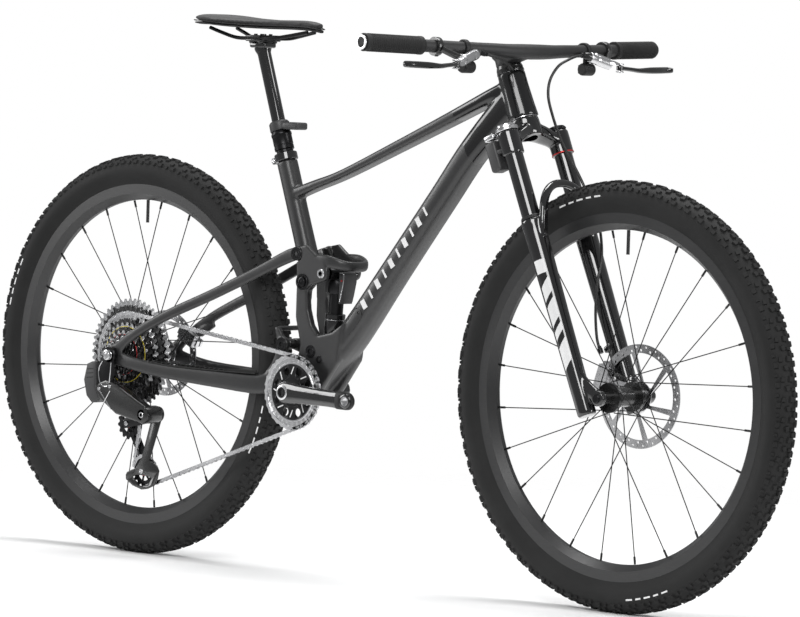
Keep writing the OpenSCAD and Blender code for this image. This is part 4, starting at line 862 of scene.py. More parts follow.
bm = bmesh.new()
low, high = -19, 19
outline_plate(bm, (
    at(link_rear, 0, 9.8), at(link_rear, 30, 7.2), at(link_low, 0, 9.8), at(link_low, 0, -9.8),
    at(link_low, -30, -7.4), at(link_rear, 0, -9.8)), low, high, 2)
button(bm, 10, low, high, link_low, soft=1)
lathe(bm, [[5.1, -34.2], [9, -34.2], [9.9, -33.2], [9.9, -22], [8.8, -18], [8.8, 18], [9.9, 22],
           [9.9, 33.2], [9, 34.2], [5.1, 34.2]], link_rear, Y_AXIS, 40)
fit(make("lower_rocker", bm, black_paint), "lower_link", "black_anodised", "lower_link")
bm = bmesh.new()
for side in (-1, 1):
    ring_band(bm, 9.0, 12.6, 0.9, at(link_rear, y=side * 47.4), soft=0.4)
    hex_bolt(bm, 8.6, at(link_rear, y=side * 46.8), Y_AXIS * side, 1.4, 0.5)
    ring_band(bm, 8.2, 12.2, 0.8, at(rocker_rear, y=side * 46.8), soft=0.4)
    hex_bolt(bm, 7.8, at(rocker_rear, y=side * 46.2), Y_AXIS * side, 1.2, 0.55)
fit(make("stay_bolts", bm, anodised), "swingarm", "black_steel")

# ---------------------------------------------------------------- shock
shock_dir = (shock_top - shock_low).normalized()
bm = bmesh.new()
lathe(bm, [[13.6, 82], [17.6, 82], [18.4, 81], [18.4, 74], [17.4, 73], [17.4, 70], [18.4, 69],
           [18.4, 24], [17.2, 22], [17.2, 19], [15, 13], [14, 6], [0, 6]], shock_low, shock_dir, 48)
button(bm, 9.5, -18.8, 18.8, shock_low, soft=1)
fit(make("shock_air_can", bm, gloss), "shock_can", "black_anodised", "shock_can")
bm = bmesh.new()
ring_band(bm, 13.7, 18.7, 0.8, shock_low + shock_dir * 71.5, shock_dir, 0.3)
ring_band(bm, 15.5, 17.9, 0.6, shock_low + shock_dir * 20.5, shock_dir, 0.2)
fit(make("shock_can_rings", bm, silver), "shock_can", "silver_alloy")
bm = bmesh.new()
lathe(bm, [[13.3, 60], [13.3, 118], [16, 119], [17, 121], [17, 140], [15, 144], [13, 147],
           [0, 147]], shock_low, shock_dir, 44)
lathe(bm, [[7.2, -26.8], [10, -26.8], [10.5, -26], [10.5, 26], [10, 26.8], [7.2, 26.8],
           [7.2, -26.8]], shock_top, Y_AXIS, 36)
fit(make("shock_body", bm, anodised), "shock_shaft", "black_anodised", "shock_damper")
bm = bmesh.new()
outline_plate(bm, (
    at(shock_top, 17, 3), at(shock_top, 29, 2), at(shock_top, 31, -4), at(shock_top, 30, -16),
    at(shock_top, 24.5, -40), at(shock_top, 20, -54), at(shock_top, 17, -54)), -17, 17, 2.5, 3)
block(bm, (13, 22, 28), turned(at(shock_top, -16, -22), math.radians(4)), 3, 3)
fit(make("shock_module", bm, charcoal), "shock_shaft", "black_plastic", "shock_battery")
bm = bmesh.new()
for side in (-1, 1):
    wire(bm, [at(shock_top, dx, dz, side * 17.0) for dx, dz in (
        (19, 1), (28, 0), (29, -5), (28, -16), (23, -38), (20, -50))], 0.5, 6, 3)
fit(make("shock_module_edges", bm, silver), "shock_shaft", "silver_alloy")
bm = bmesh.new()
button(bm, 1.8, 0, 0.6, at(shock_top, 24, -12, -17), -Y_AXIS, 0.2, 16)
fit(make("shock_mark", bm, red_mark), "shock_shaft", "black_plastic")

# ---------------------------------------------------------------- seat post and saddle
def up_seat(distance):
    return seat_top + seat_up * distance


bm = bmesh.new()
lathe(bm, [[15.6, 0.3], [20.2, 0.3], [21, 1.2], [21, 12.8], [20.2, 13.8], [16.4, 13.8], [15.6, 13]],
      seat_top, seat_up, 56)
turn = turned(up_seat(7), math.radians(-18.7))
block(bm, (11, 6.4, 12), turn @ Matrix.Translation((-24.5, 4.6, 0)), 1.6, 2)
block(bm, (11, 6.4, 12), turn @ Matrix.Translation((-24.5, -4.6, 0)), 1.6, 2)
fit(make("seat_collar", bm, gloss), "frame", "black_anodised", "seat_clamp")
bm = bmesh.new()
hex_bolt(bm, 4.2, turn @ Vector((-24.5, -7.8, 0)), -Y_AXIS, 3.4, 0.55)
button(bm, 2.4, -8, 8, turn @ Vector((-24.5, 0, 0)), Y_AXIS, 0.3, 20)
fit(make("seat_collar_bolt", bm, silver), "frame", "silver_alloy")
bm = bmesh.new()
lathe(bm, [[12.6, -4], [15.4, -4], [15.4, 19.5], [16.2, 20.2], [18, 21], [18, 27], [17.3, 27.6],
           [17.3, 29.4], [18, 30], [18, 46], [18.8, 47.2], [18.8, 51], [17.6, 53.5], [16.4, 58],
           [14.9, 61.4], [12.6, 62], [12.6, -4]], seat_top, seat_up, 56)
fit(make("dropper_collar", bm, anodised), "frame", "black_anodised", "dropper_outer")
bm = bmesh.new()
mid = up_seat(60)
block(bm, (40, 29, 13.4), Matrix.Translation((mid.x + 36, 0, mid.z + 7)), 4, 4)
block(bm, (26, 24, 9), Matrix.Translation((mid.x + 12, 0, mid.z + 5.5)), 2, 3)
lathe(bm, [[12.7, 56.5], [18.6, 56.5], [19, 58], [18.6, 71], [16, 74], [12.7, 74], [12.7, 56.5]],
      seat_top, seat_up, 48)
for side in (-1, 1):
    block(bm, (26, 0.8, 3), Matrix.Translation((mid.x + 38, side * 14.4, mid.z + 7)), 0.3, 1)
fit(make("dropper_motor", bm, charcoal), "frame", "black_plastic", "dropper_battery")
bm = bmesh.new()
lathe(bm, [[0, -38], [12.3, -38], [12.35, 203], [13, 205.5], [15.6, 212], [16, 216], [13, 219],
           [0, 219]], seat_top, seat_up, 56)
head = up_seat(217)
block(bm, (38, 33, 11), Matrix.Translation((head.x, 0, head.z + 3)), 3.5, 3)
fit(make("dropper_shaft", bm, gloss), "seat", "black_anodised", "dropper_post")

clamp_low, clamp_high = low_high("saddle_clamp")
rail_z = (clamp_low.z + clamp_high.z) / 2
clamp_x = (clamp_low.x + clamp_high.x) / 2
bm = bmesh.new()
for side in (-1, 1):
    for lift in (-3.5, 3.5):
        block(bm, (35, 13.6, 4.4), Matrix.Translation((clamp_x, side * 22, rail_z + lift)), 1.6, 3)
block(bm, (34, 32, 4.4), Matrix.Translation((clamp_x, 0, rail_z + 3.5)), 1.4, 3)
block(bm, (10, 44, 7), Matrix.Translation((clamp_x - 11, 0, rail_z - 6)), 2.5, 3)
block(bm, (10, 44, 7), Matrix.Translation((clamp_x + 11, 0, rail_z - 6)), 2.5, 3)
for side in (-1, 1):
    button(bm, 3.4, -9, 8, Vector((clamp_x - 11, side * 8, rail_z)), Z_AXIS, 0.5, 20)
    button(bm, 3.4, -9, 8, Vector((clamp_x + 11, side * 8, rail_z)), Z_AXIS, 0.5, 20)
fit(make("saddle_yokes", bm, black_paint), "seat", "black_anodised", "saddle_clamp")
saddle_low, saddle_high = low_high("saddle_cover")
bm = bmesh.new()
for side in (-1, 1):
    wire(bm, [Vector(p) for p in (
        (saddle_low.x + 34, side * 35, rail_z + 17), (clamp_x - 74, side * 30, rail_z + 8),
        (clamp_x - 44, side * 22.5, rail_z), (clamp_x, side * 22, rail_z),
        (clamp_x + 44, side * 21.5, rail_z + 0.5), (clamp_x + 76, side * 16, rail_z + 5),
        (saddle_high.x - 26, side * 9.5, rail_z + 13))], 3.45, 12, 5)
fit(make("saddle_rail_pair", bm, anodised), "seat", "black_steel", "saddle_rails")

# Stations of the saddle: share of its length from the tail, half width share, height over rails
SADDLE_PLAN = [(0.0, 0.52, 34), (0.03, 0.74, 35), (0.08, 0.93, 35.2), (0.16, 0.99, 34),
               (0.28, 0.92, 31.4), (0.38, 0.74, 29.8), (0.47, 0.55, 29), (0.60, 0.37, 28.6),
               (0.76, 0.285, 28.6), (0.90, 0.25, 27.6), (0.97, 0.21, 25.6), (1.0, 0.12, 24)]
saddle_half = (saddle_high.y - saddle_low.y) / 2


def saddle_rows(lift, thick, inset):
    return [[saddle_low.x + s * (saddle_high.x - saddle_low.x), 0, rail_z + z + lift,
             max(w * saddle_half - inset, 4), thick] for s, w, z in SADDLE_PLAN]


bm = bmesh.new()
flow(bm, saddle_rows(-9.5, 2.2, 3.2), 5, power=3.2, sides=32)
fit(make("saddle_base", bm, plastic, 60), "seat", "black_plastic", "saddle_shell")
bm = bmesh.new()
flow(bm, saddle_rows(-1.2, 6.2, 2.0), 5, power=2.8, sides=36)
cover = make("saddle_pad", bm, satin, 180)
remesh = cover.modifiers.new("skin", "REMESH")
remesh.mode = "VOXEL"
remesh.voxel_size = 4 * MM
bake(cover)
rest = [v.co.copy() for v in cover.data.vertices]
cloth = cover.modifiers.new("fill", "CLOTH")
cloth.settings.quality = 5
cloth.settings.use_pressure = True
cloth.settings.uniform_pressure_force = 4
cloth.settings.effector_weights.gravity = 0
cloth.point_cache.frame_start = 1
cloth.point_cache.frame_end = 20
for count in range(1, 21):
    bpy.context.scene.frame_set(count)
bake(cover)
for v, home in zip(cover.data.vertices, rest):
    push = v.co - home
    limit = 1.6 * MM
    if push.length > limit:
        v.co = home + push * (limit / push.length)
bpy.context.scene.frame_set(1)
# The pad's shallow relief channel
for v in cover.data.vertices:
    share = (v.co.x / MM - saddle_low.x) / (saddle_high.x - saddle_low.x)
    across = abs(v.co.y) / MM
    top = v.co.z / MM > rail_z + 27
    if top and 0.05 < share < 0.86:
        dip = 2.6 * math.exp(-(across / 8.5) ** 2) * math.sin(math.pi * (share - 0.05) / 0.81)
        v.co.z -= dip * MM
ease = cover.modifiers.new("ease", "SMOOTH")
ease.factor = 0.5
ease.iterations = 4
round_off = cover.modifiers.new("round", "SUBSURF")
round_off.levels = 1
round_off.render_levels = 1
bake(cover)
soften(cover.data, 180)
vinyl = Nodes("saddle_vinyl")
pores = vinyl.cells(900)
wander = vinyl.noise(16, 4)
vinyl.colour(vinyl.blend(vinyl.band(wander, 0.35, 0.65), (0.012, 0.012, 0.0125),
                         (0.019, 0.019, 0.0195)))
vinyl.rough(vinyl.band(wander, 0.3, 0.7, 0.50, 0.62))
vinyl.bump(pores, 0.3, 0.0003)
vinyl.set(Sheen_Weight=0.12)
cover.data.materials[0] = vinyl.mat
fit(cover, "seat", "saddle_vinyl", "saddle_cover")
bm = bmesh.new()
seam = []
for s, w, z in smooth_path([list(r) for r in SADDLE_PLAN], 4):
    seam.append(Vector((saddle_low.x + s * (saddle_high.x - saddle_low.x),
                        max(w * saddle_half - 1.4, 3), rail_z + z - 5.2)))
mirrored = [Vector((p.x, -p.y, p.z)) for p in reversed(seam)]
wire(bm, [p for p in seam + mirrored][::2], 0.9, 6, 2)
fit(make("saddle_edge_piping", bm, plastic, 60), "seat", "saddle_vinyl")

# ---------------------------------------------------------------- fork
def steer_piece(bm):
    bmesh.ops.transform(bm, matrix=STEER, verts=bm.verts)
    return bm


LEG_X, LEG_Y = 10, 65
bm = bmesh.new()
flow(bm, [[LEG_X, -LEG_Y, 478, 18, 17], [8, -52, 485, 17, 12.5], [5, -36, 493, 19, 12],
          [2, -20, 500, 22, 12.5], [0, 0, 503, 24.5, 13.5], [2, 20, 500, 22, 12.5],
          [5, 36, 493, 19, 12], [8, 52, 485, 17, 12.5], [LEG_X, LEG_Y, 478, 18, 17]], 4,
     ref=Vector((1, 0, 0)), power=2.6)
lathe(bm, [[0, 492], [25, 492], [26, 498], [25.6, 518], [24.8, 525.4], [0, 525.4]],
      Vector((0, 0, 0)), Z_AXIS, 48)
for side in (-1, 1):
    lathe(bm, [[0, 456], [18.4, 456], [19.3, 457], [19.5, 486], [19.3, 497], [18, 499], [0, 499]],
          Vector((LEG_X, side * LEG_Y, 0)), Z_AXIS, 48)
crown = melt(make("crown_skin", steer_piece(bm), gloss, 180), 1.7, 5)
cutter = bmesh.new()
lathe(cutter, [[0, 460], [15.2, 460], [15.2, 505], [12, 560], [0, 560]], Vector((0, 0, 0)), Z_AXIS)
cut_away(crown, make("steerer_hole", steer_piece(cutter), gloss))
soften(crown.data, 50)
fit(crown, "steering", "carbon_black", "fork_crown")
bm = bmesh.new()
lathe(bm, [[12.2, 505], [14.2, 505], [14.2, 652], [12.2, 652], [12.2, 505]], Vector((0, 0, 0)),
      Z_AXIS)
fit(make("steerer_tube", steer_piece(bm), silver), "steering", "silver_alloy")
bm = bmesh.new()
lathe(bm, [[19.6, 457.2], [19.9, 457.6], [19.9, 458.8], [19.6, 459.2], [19.0, 458.2],
           [19.6, 457.2]], Vector((LEG_X, LEG_Y, 0)), Z_AXIS)
fit(make("crown_red_line", steer_piece(bm), red_mark), "steering", "black_plastic")
bm = bmesh.new()
lathe(bm, [[0, 499], [16.2, 499], [17, 500], [17, 505], [15.4, 507], [12, 508], [12, 506],
           [0, 506]], Vector((LEG_X, LEG_Y, 0)), Z_AXIS, 40)
for k in range(12):
    a = math.tau * k / 12
    block(bm, (3, 3, 4), Matrix.Translation((LEG_X + 16.4 * math.cos(a),
                                            LEG_Y + 16.4 * math.sin(a), 502.5)), 0.8, 1)
fit(make("air_cap", steer_piece(bm), anodised), "steering", "black_anodised")
bm = bmesh.new()
lathe(bm, [[12, 499.2], [19.8, 499.2], [20.4, 500], [20.4, 505], [19.6, 506], [17, 506.2],
           [16.6, 510], [14.6, 511.2], [0, 511.2], [0, 499.2]], Vector((LEG_X, -LEG_Y, 0)),
      Z_AXIS, 48)
block(bm, (22, 25, 10), Matrix.Translation((LEG_X - 35, -LEG_Y, 500.5)), 2.5, 3)
fit(make("damper_band", steer_piece(bm), silver), "steering", "silver_alloy")
bm = bmesh.new()
block(bm, (23, 29, 54), Matrix.Translation((LEG_X - 36.2, -LEG_Y, 466)), 5, 4)
block(bm, (14, 24, 8), Matrix.Translation((LEG_X - 22, -LEG_Y, 470)), 2, 2)
for lift in (-14, -4, 6):
    block(bm, (23.8, 18, 1.4), Matrix.Translation((LEG_X - 36.2, -LEG_Y, 466 + lift)), 0.4, 1)
fit(make("damper_module", steer_piece(bm), charcoal), "steering", "black_plastic", "fork_control")
bm = bmesh.new()
for side in (-1, 1):
    lathe(bm, [[0, -20], [14.5, -20], [16.6, -17], [17, 60], [18, 160], [19.4, 270], [20, 318],
               [20.4, 330], [20.2, 335], [19.4, 336.8], [0, 336.8]],
          Vector((LEG_X, side * LEG_Y, 0)), Z_AXIS, 48)
    flow(bm, [[44, side * 64, 0, 8, 13.6], [28, side * 64.4, 22, 8, 12],
              [LEG_X + 2, side * 65, 58, 7, 10]], 5, ref=Y_AXIS, power=2.6)
    button(bm, 14, 56.2, 71.6, Vector((44, 0, 0)), Y_AXIS * side, 2)
    button(bm, 12, 58, 71, Vector((LEG_X + 2, 0, -2)), Y_AXIS * side, 2.5)
flow(bm, [[25, -65, 304, 7, 9], [33, -63, 330, 6.5, 8.5], [38, -54, 360, 6.2, 8],
          [40, -40, 379, 6, 7.6], [40, -20, 390, 6, 7.2], [40, 0, 392.5, 6, 7],
          [40, 20, 390, 6, 7.2], [40, 40, 379, 6, 7.6], [38, 54, 360, 6.2, 8],
          [33, 63, 330, 6.5, 8.5], [25, 65, 304, 7, 9]], 4, ref=Vector((1, 0, 0)), power=2.6)
for s in (58, 102):
    block(bm, (19, 13, 12), Matrix.Translation((1.5, 52.6, s)), 2.5, 2)
lowers = melt(make("lower_legs", steer_piece(bm), gloss, 180), 1.9, 5)
cutter = bmesh.new()
for side in (-1, 1):
    lathe(cutter, [[0, 250], [16.2, 250], [16.2, 350], [0, 350]],
          Vector((LEG_X, side * LEG_Y, 0)), Z_AXIS)
cut_away(lowers, make("leg_bores", steer_piece(cutter), gloss))
soften(lowers.data, 50)
fit(lowers, "lowers", "carbon_black", "fork_lowers")
bm = bmesh.new()
for side in (-1, 1):
    lathe(bm, [[16.1, 337], [19.2, 337], [19.4, 338.4], [18.6, 339.6], [18.8, 341], [17.4, 343],
               [16.1, 343], [16.1, 337]], Vector((LEG_X, side * LEG_Y, 0)), Z_AXIS, 48)
fit(make("wiper_seals", steer_piece(bm), plastic), "lowers", "seal_rubber", "fork_seals")


def leg_patch(bm, side, low, high, mid, wide, skew):
    """A thin painted patch that hugs a lower leg, slanted by skew."""
    made = bmesh.ops.create_grid(bm, x_segments=6, y_segments=8, size=1)["verts"]
    for v in made:
        s = (low + high) / 2 + v.co.y * (high - low) / 2 + v.co.x * skew
        a = math.radians(mid + v.co.x * wide)
        r = 17.2 + 2.6 * max(s - 60, 0) / 260 + 0.55
        v.co = Vector((LEG_X + r * math.sin(a), side * (LEG_Y + r * math.cos(a)), s))


bm = bmesh.new()
for low, high, mid, wide, skew in ((238, 262, 12, 30, 0), (196, 222, 12, 30, 9),
                                   (150, 186, 12, 30, 9), (126, 140, 12, 30, 9),
                                   (72, 112, 12, 30, 9)):
    leg_patch(bm, -1, low, high, mid, wide, skew)
bmesh.ops.solidify(bm, geom=bm.faces[:], thickness=0.3)
fit(make("leg_blocks", steer_piece(bm), white_mark), "lowers", "carbon_black")
bm = bmesh.new()
for low, high, mid, wide, skew in ((120, 150, 0, 14, 5), (160, 168, 0, 14, 5)):
    leg_patch(bm, 1, low, high, mid, wide, skew)
bmesh.ops.solidify(bm, geom=bm.faces[:], thickness=0.3)
fit(make("leg_marks", steer_piece(bm), grey_mark), "lowers", "carbon_black")
bm = bmesh.new()
lathe(bm, [[0, -74], [6, -74], [7.4, -73], [7.4, 72], [9.6, 72.2], [10, 73], [10, 75], [9, 75.6],
           [5, 75.6], [4.6, 74], [0, 74]], front_axle, Y_AXIS, 40)
fit(make("front_through_axle", bm, anodised), "lowers", "black_steel", "front_axle")

# ---------------------------------------------------------------- handlebar
BAR_HALF = low_high("cockpit")[1].y
bar_mid = on_steer(13, 0, 655) + Vector((49, 0, -6))
bar_tip = Vector((bar_mid.x - 45, BAR_HALF, bar_mid.z + 9))
bar_bend = Vector((bar_mid.x - 5, 90, bar_mid.z + 2))
bar_dir = (bar_tip - bar_bend).normalized()
stem_top = on_steer(0, 0, 643)


def on_bar(distance, side=1):
    p = bar_tip - bar_dir * distance
    return Vector((p.x, p.y * side, p.z))


def swap(p, side):
    return Vector((p[0], p[1] * side, p[2]))


bm = bmesh.new()
mid_stem = stem_top.lerp(bar_mid, 0.6)
flow(bm, [[stem_top.x - 25, 0, stem_top.z + 4, 10, 6], [stem_top.x - 19, 0, stem_top.z + 3, 17, 11],
          [stem_top.x - 4, 0, stem_top.z + 2.5, 21, 14.5],
          [stem_top.x + 14, 0, stem_top.z + 3, 21, 15],
          [mid_stem.x, 0, mid_stem.z + 2, 21, 13.5], [bar_mid.x - 8, 0, bar_mid.z + 0.5, 27, 12.5],
          [bar_mid.x + 6, 0, bar_mid.z, 30, 11]], 5, power=2.7)
rows = [[bar_mid.x, 0, bar_mid.z, 16.5, 13.6], [bar_mid.x - 0.6, 30, bar_mid.z + 0.2, 16, 13.2],
        [bar_mid.x - 2, 60, bar_mid.z + 0.8, 14, 12.2], [*bar_bend, 12.2, 11.6],
        [*(bar_bend + bar_dir * 40), 11.3, 11.2], [*(bar_bend + bar_dir * 110), 11.1, 11.1],
        [*bar_tip, 11.1, 11.1]]
left = smooth_path([list(r) for r in rows], 5)
right = [[r[0], -r[1], *r[2:]] for r in reversed(left)][:-1]
loft(bm, right + left, ref=Vector((1, 0, 0)), power=2.2)
lathe(bm, [[0, 626.4], [21.4, 626.4], [22, 627.4], [20.6, 650], [0, 652]], steer_home, steer_up)
bar = melt(make("bar_and_stem", bm, cockpit_matt, 180), 2.0, 4)
fit(bar, "steering", "carbon_satin", "cockpit")
bm = bmesh.new()
lathe(bm, [[14.6, 612.6], [24.3, 612.6], [24.5, 613.4], [23.4, 619], [23.8, 620], [22.2, 625.8],
           [14.6, 625.8], [14.6, 612.6]], steer_home, steer_up, 56)
fit(make("headset_top", bm, black_paint), "steering", "black_anodised", "headset_cover")
bm = bmesh.new()
hex_bolt(bm, 4.2, steer_home + steer_up * 661 + steer_fore * 2, steer_up, 1.2)
for side in (-1, 1):
    hex_bolt(bm, 3.6, Vector((stem_top.x - 26.5, side * 6, stem_top.z + 2)), Vector((-1, 0, 0.1)), 1)
fit(make("stem_bolts", bm, anodised), "steering", "black_steel")

GRIP_LONG = 130
bm = bmesh.new()
for side in (-1, 1):
    along = swap(bar_dir, side)
    base = on_bar(GRIP_LONG, side)
    lathe(bm, [[11.2, 0], [15.4, 0], [16, 0.8], [16, 7], [15.2, 8.4], [14.6, 9.6], [14.6, 120],
               [15.4, 123], [15.6, 126], [15, 127], [11.2, 127], [11.2, 0]], base, along, 48)
    turn = frame_at(base, along, Z_AXIS)
    for k in range(27):
        start = 12.5 + k * 4.0
        loop = []
        for q in range(30):
            a = math.tau * q / 30
            wave = 2.2 * math.sin(a) + 0.9 * math.sin(3 * a)
            loop.append(turn @ Vector((14.75 * math.cos(a), 14.75 * math.sin(a), start + wave)))
        wire(bm, loop, 0.95, 5, closed=True, ref=along)
fit(make("ribbed_grips", bm, grip_rubber, 50), "steering", "grip_rubber", "grips")
bm = bmesh.new()
for side in (-1, 1):
    lathe(bm, [[10.2, -0.4], [12.4, -0.4], [13, 0.2], [13, 1.4], [12.2, 2], [9.6, 2],
               [9.2, 1.2], [9.2, -0.4], [10.2, -0.4]], on_bar(0, side), swap(bar_dir, side), 40)
fit(make("plug_rings", bm, silver), "steering", "silver_alloy", "bar_plugs")
bm = bmesh.new()
for side in (-1, 1):
    lathe(bm, [[0, -6], [9, -6], [9.1, 1.0], [6, 1.5], [5, 0.8], [0, 0.8]], on_bar(0, side),
          swap(bar_dir, side), 36)
fit(make("plug_caps", bm, plastic), "steering", "black_plastic")

BRAKE_AT = 163
master_in = on_bar(BRAKE_AT + 70) + Vector((20, 0, -10))
master_out = on_bar(BRAKE_AT + 14) + Vector((38, 0, -27))
lever_at = Vector(JOINTS["left_lever_pivot"]["pos_m"]) / MM
bm = bmesh.new()
for side in (-1, 1):
    a, b = swap(master_in, side), swap(master_out, side)
    along = (b - a).normalized()
    long = (b - a).length
    lathe(bm, [[0, -1], [8.6, -1], [9.4, 0], [9.4, 10], [8.8, 12], [8.8, 16], [9.4, 18],
               [9.3, long * 0.7], [8.2, long * 0.9], [7.4, long], [0, long + 1]], a, along, 40)
    flow(bm, [[*a.lerp(b, 0.55), 6, 6], [*(a.lerp(b, 0.85) + Vector((4, 0, 2))), 7, 6.5],
              [*(swap(lever_at, side) + Vector((-2, 0, 0))), 7.4, 7]], 5, ref=Vector((1, 0, 0)))
    flow(bm, [[*(a.lerp(b, 0.15) + Vector((2, 0, 7))), 6, 3.6],
              [*(a.lerp(b, 0.7) + Vector((2, 0, 7))), 5, 3.2]], 4, ref=Vector((1, 0, 0)))
    lathe(bm, [[0, 5.4], [6.4, 5.4], [7, 6], [7, 7.6], [6.2, 8], [0, 8]], swap(lever_at, side),
          Z_AXIS, 32)
    lathe(bm, [[0, 5.4], [6.4, 5.4], [7, 6], [7, 7.6], [6.2, 8], [0, 8]], swap(lever_at, side),
          -Z_AXIS, 32)
masters = melt(make("master_cylinders", bm, silver, 180), 1.1, 2)
cutter = bmesh.new()
for side in (-1, 1):
    button(cutter, 24, -5.2, 5.2, swap(lever_at, side), Z_AXIS, 0.1)
cut_away(masters, make("lever_room", cutter, silver))
soften(masters.data, 50)
fit(masters, "steering", "silver_alloy", "brake_bodies")
bm = bmesh.new()
for side in (-1, 1):
    a, b = swap(master_in, side), swap(master_out, side)
    along = (b - a).normalized()
    lathe(bm, [[0, -15], [4.4, -15], [5, -13], [6.4, -11], [7.4, -4], [8, -1.2], [0, -1.2]], a,
          along, 36)
    lathe(bm, [[11.2, -6], [15.4, -6], [16.1, -5], [16.1, 5], [15.4, 6], [11.2, 6], [11.2, -6]],
          on_bar(BRAKE_AT, side), swap(bar_dir, side), 44)
    flow(bm, [[*(on_bar(BRAKE_AT, side) + Vector((14, 0, -4))), 5, 6],
              [*a.lerp(b, 0.66), 5, 6]], 4, ref=Vector((0, 1, 0)))
    hex_bolt(bm, 3.2, on_bar(BRAKE_AT, side) + Vector((2, 0, -16)), -Z_AXIS, 1.4)
fit(make("brake_clamps", bm, black_paint), "steering", "black_anodised")
for label, side, node in (("left", 1, "brake_lever_left"), ("right", -1, "brake_lever_right")):
    tip = on_bar(40, side) + Vector((62, 0, -34))
    bend = on_bar(BRAKE_AT - 42, side) + Vector((56, 0, -34))
    home = swap(lever_at, side)
    bm = bmesh.new()
    flow(bm, [[*home, 6, 3.9], [*(home.lerp(bend, 0.35) + Vector((1, 0, 0))), 5.4, 3.6],
              [*home.lerp(bend, 0.7), 5.2, 3.8], [*bend, 5.4, 4.2],
              [*(bend.lerp(tip, 0.35) + Vector((2.5, 0, 0))), 4.4, 5.6],
              [*(bend.lerp(tip, 0.7) + Vector((2.5, 0, 0))), 4.2, 5.8], [*tip, 4.6, 5.6],
              [*(tip + Vector((5, side * 5, 0))), 4.2, 5], [*(tip + Vector((9, side * 8, 0))), 3, 3.6]],
         5, ref=Vector((1, 0, 0)), sides=20)
    button(bm, 6.4, -4, 4, home, Z_AXIS, 0.6)
    button(bm, 2.6, -8.4, 8.4, home, Z_AXIS, 0.3, 24)
    fit(make(label + "_lever_blade", bm, gloss), "lever_" + label, "black_anodised", node)
pod_at = on_bar(226) + Vector((8, 0, -32))
bm = bmesh.new()
for side in (-1, 1):
    p = swap(pod_at, side)
    lathe(bm, [[0, -14], [9, -14], [11, -12], [11, 12], [9, 14], [0, 14]], p, Y_AXIS, 40)
    flow(bm, [[*p, 6, 8], [*(p.lerp(on_bar(226, side), 0.6)), 4.5, 6],
              [*on_bar(226, side), 5, 8]], 4, ref=Y_AXIS)
    lathe(bm, [[11.2, -4.6], [14.4, -4.6], [15, -4], [15, 4], [14.4, 4.6], [11.2, 4.6],
               [11.2, -4.6]], on_bar(226, side), swap(bar_dir, side), 40)
pods = melt(make("switch_pods", bm, plastic, 180), 1.1, 2)
cutter = bmesh.new()
for side in (-1, 1):
    p = swap(pod_at, side)
    block(cutter, (24.5, 19, 60), Matrix.Translation((p.x - 17.75, p.y, p.z)), 0.3, 1)
cut_away(pods, make("button_room", cutter, plastic))
soften(pods.data, 50)
fit(pods, "steering", "black_plastic", "shift_pods")
for label, side in (("left", 1), ("right", -1)):
    p = swap(pod_at, side)
    bm = bmesh.new()
    block(bm, (5.3, 18, 15.6), Matrix.Translation((p.x - 10.8, p.y, p.z)), 1.8, 3)
    for lift in (-4, 0, 4):
        block(bm, (1, 11, 0.9), Matrix.Translation((p.x - 13.2, p.y, p.z + lift)), 0.3, 1)
    fit(make(label + "_paddle", bm, charcoal), "button_" + label, "black_plastic",
        "pod_button_" + label)

REAR_HOSE = [(354, -134.6, 952), (361, -118, 948), (364, -95, 942), (358, -68, 933),
             (345, -44, 926), (331, -29, 925), (318, -20, 927)]
FRONT_HOSE = [(354, 134.6, 952), (361, 120, 952), (367, 100, 950), (369, 78, 944), (366, 55, 932),
              (363, 38, 908), (366, 31, 880), (375, 33, 848), (386, 39, 815), (399, 46, 785),
              (420, 54, 748), (439, 58, 715), (458, 60, 685), (471, 60, 645), (482, 52, 603),
              (484, 41, 565), (484, 38, 530), (485, 38, 495), (490, 38, 462), (500, 38, 440)]
for name, route, node, body in (("rear_brake_hose", REAR_HOSE, "rear_hose", "steering"),
                                ("front_brake_hose", FRONT_HOSE, "front_hose", "lowers")):
    bm = bmesh.new()
    wire(bm, [Vector(p) for p in route], 2.5, 12, 6)
    fit(make(name, bm, hose_black, 180), body, "hose_black", node)


def hose_nut(bm, end, inward):
    """The compression nut over a hose's end, pointing along the hose."""
    along = (Vector(inward) - Vector(end)).normalized()
    lathe(bm, [[2.6, 0], [4.6, 0], [4.6, 8], [3.8, 9], [3.4, 13], [2.6, 13], [2.6, 0]],
          Vector(end), along, 20)


bm = bmesh.new()
hose_nut(bm, *FRONT_HOSE[:2])
hose_nut(bm, *REAR_HOSE[:2])
fit(make("lever_hose_nuts", bm, anodised), "steering", "black_anodised")
bm = bmesh.new()
hose_nut(bm, FRONT_HOSE[-1], FRONT_HOSE[-2])
fit(make("caliper_hose_nut", bm, anodised), "lowers", "black_anodised")

# ---------------------------------------------------------------- cassette, cranks and chainring
def pitch_r(teeth):
    return 6.35 / math.sin(math.pi / teeth)


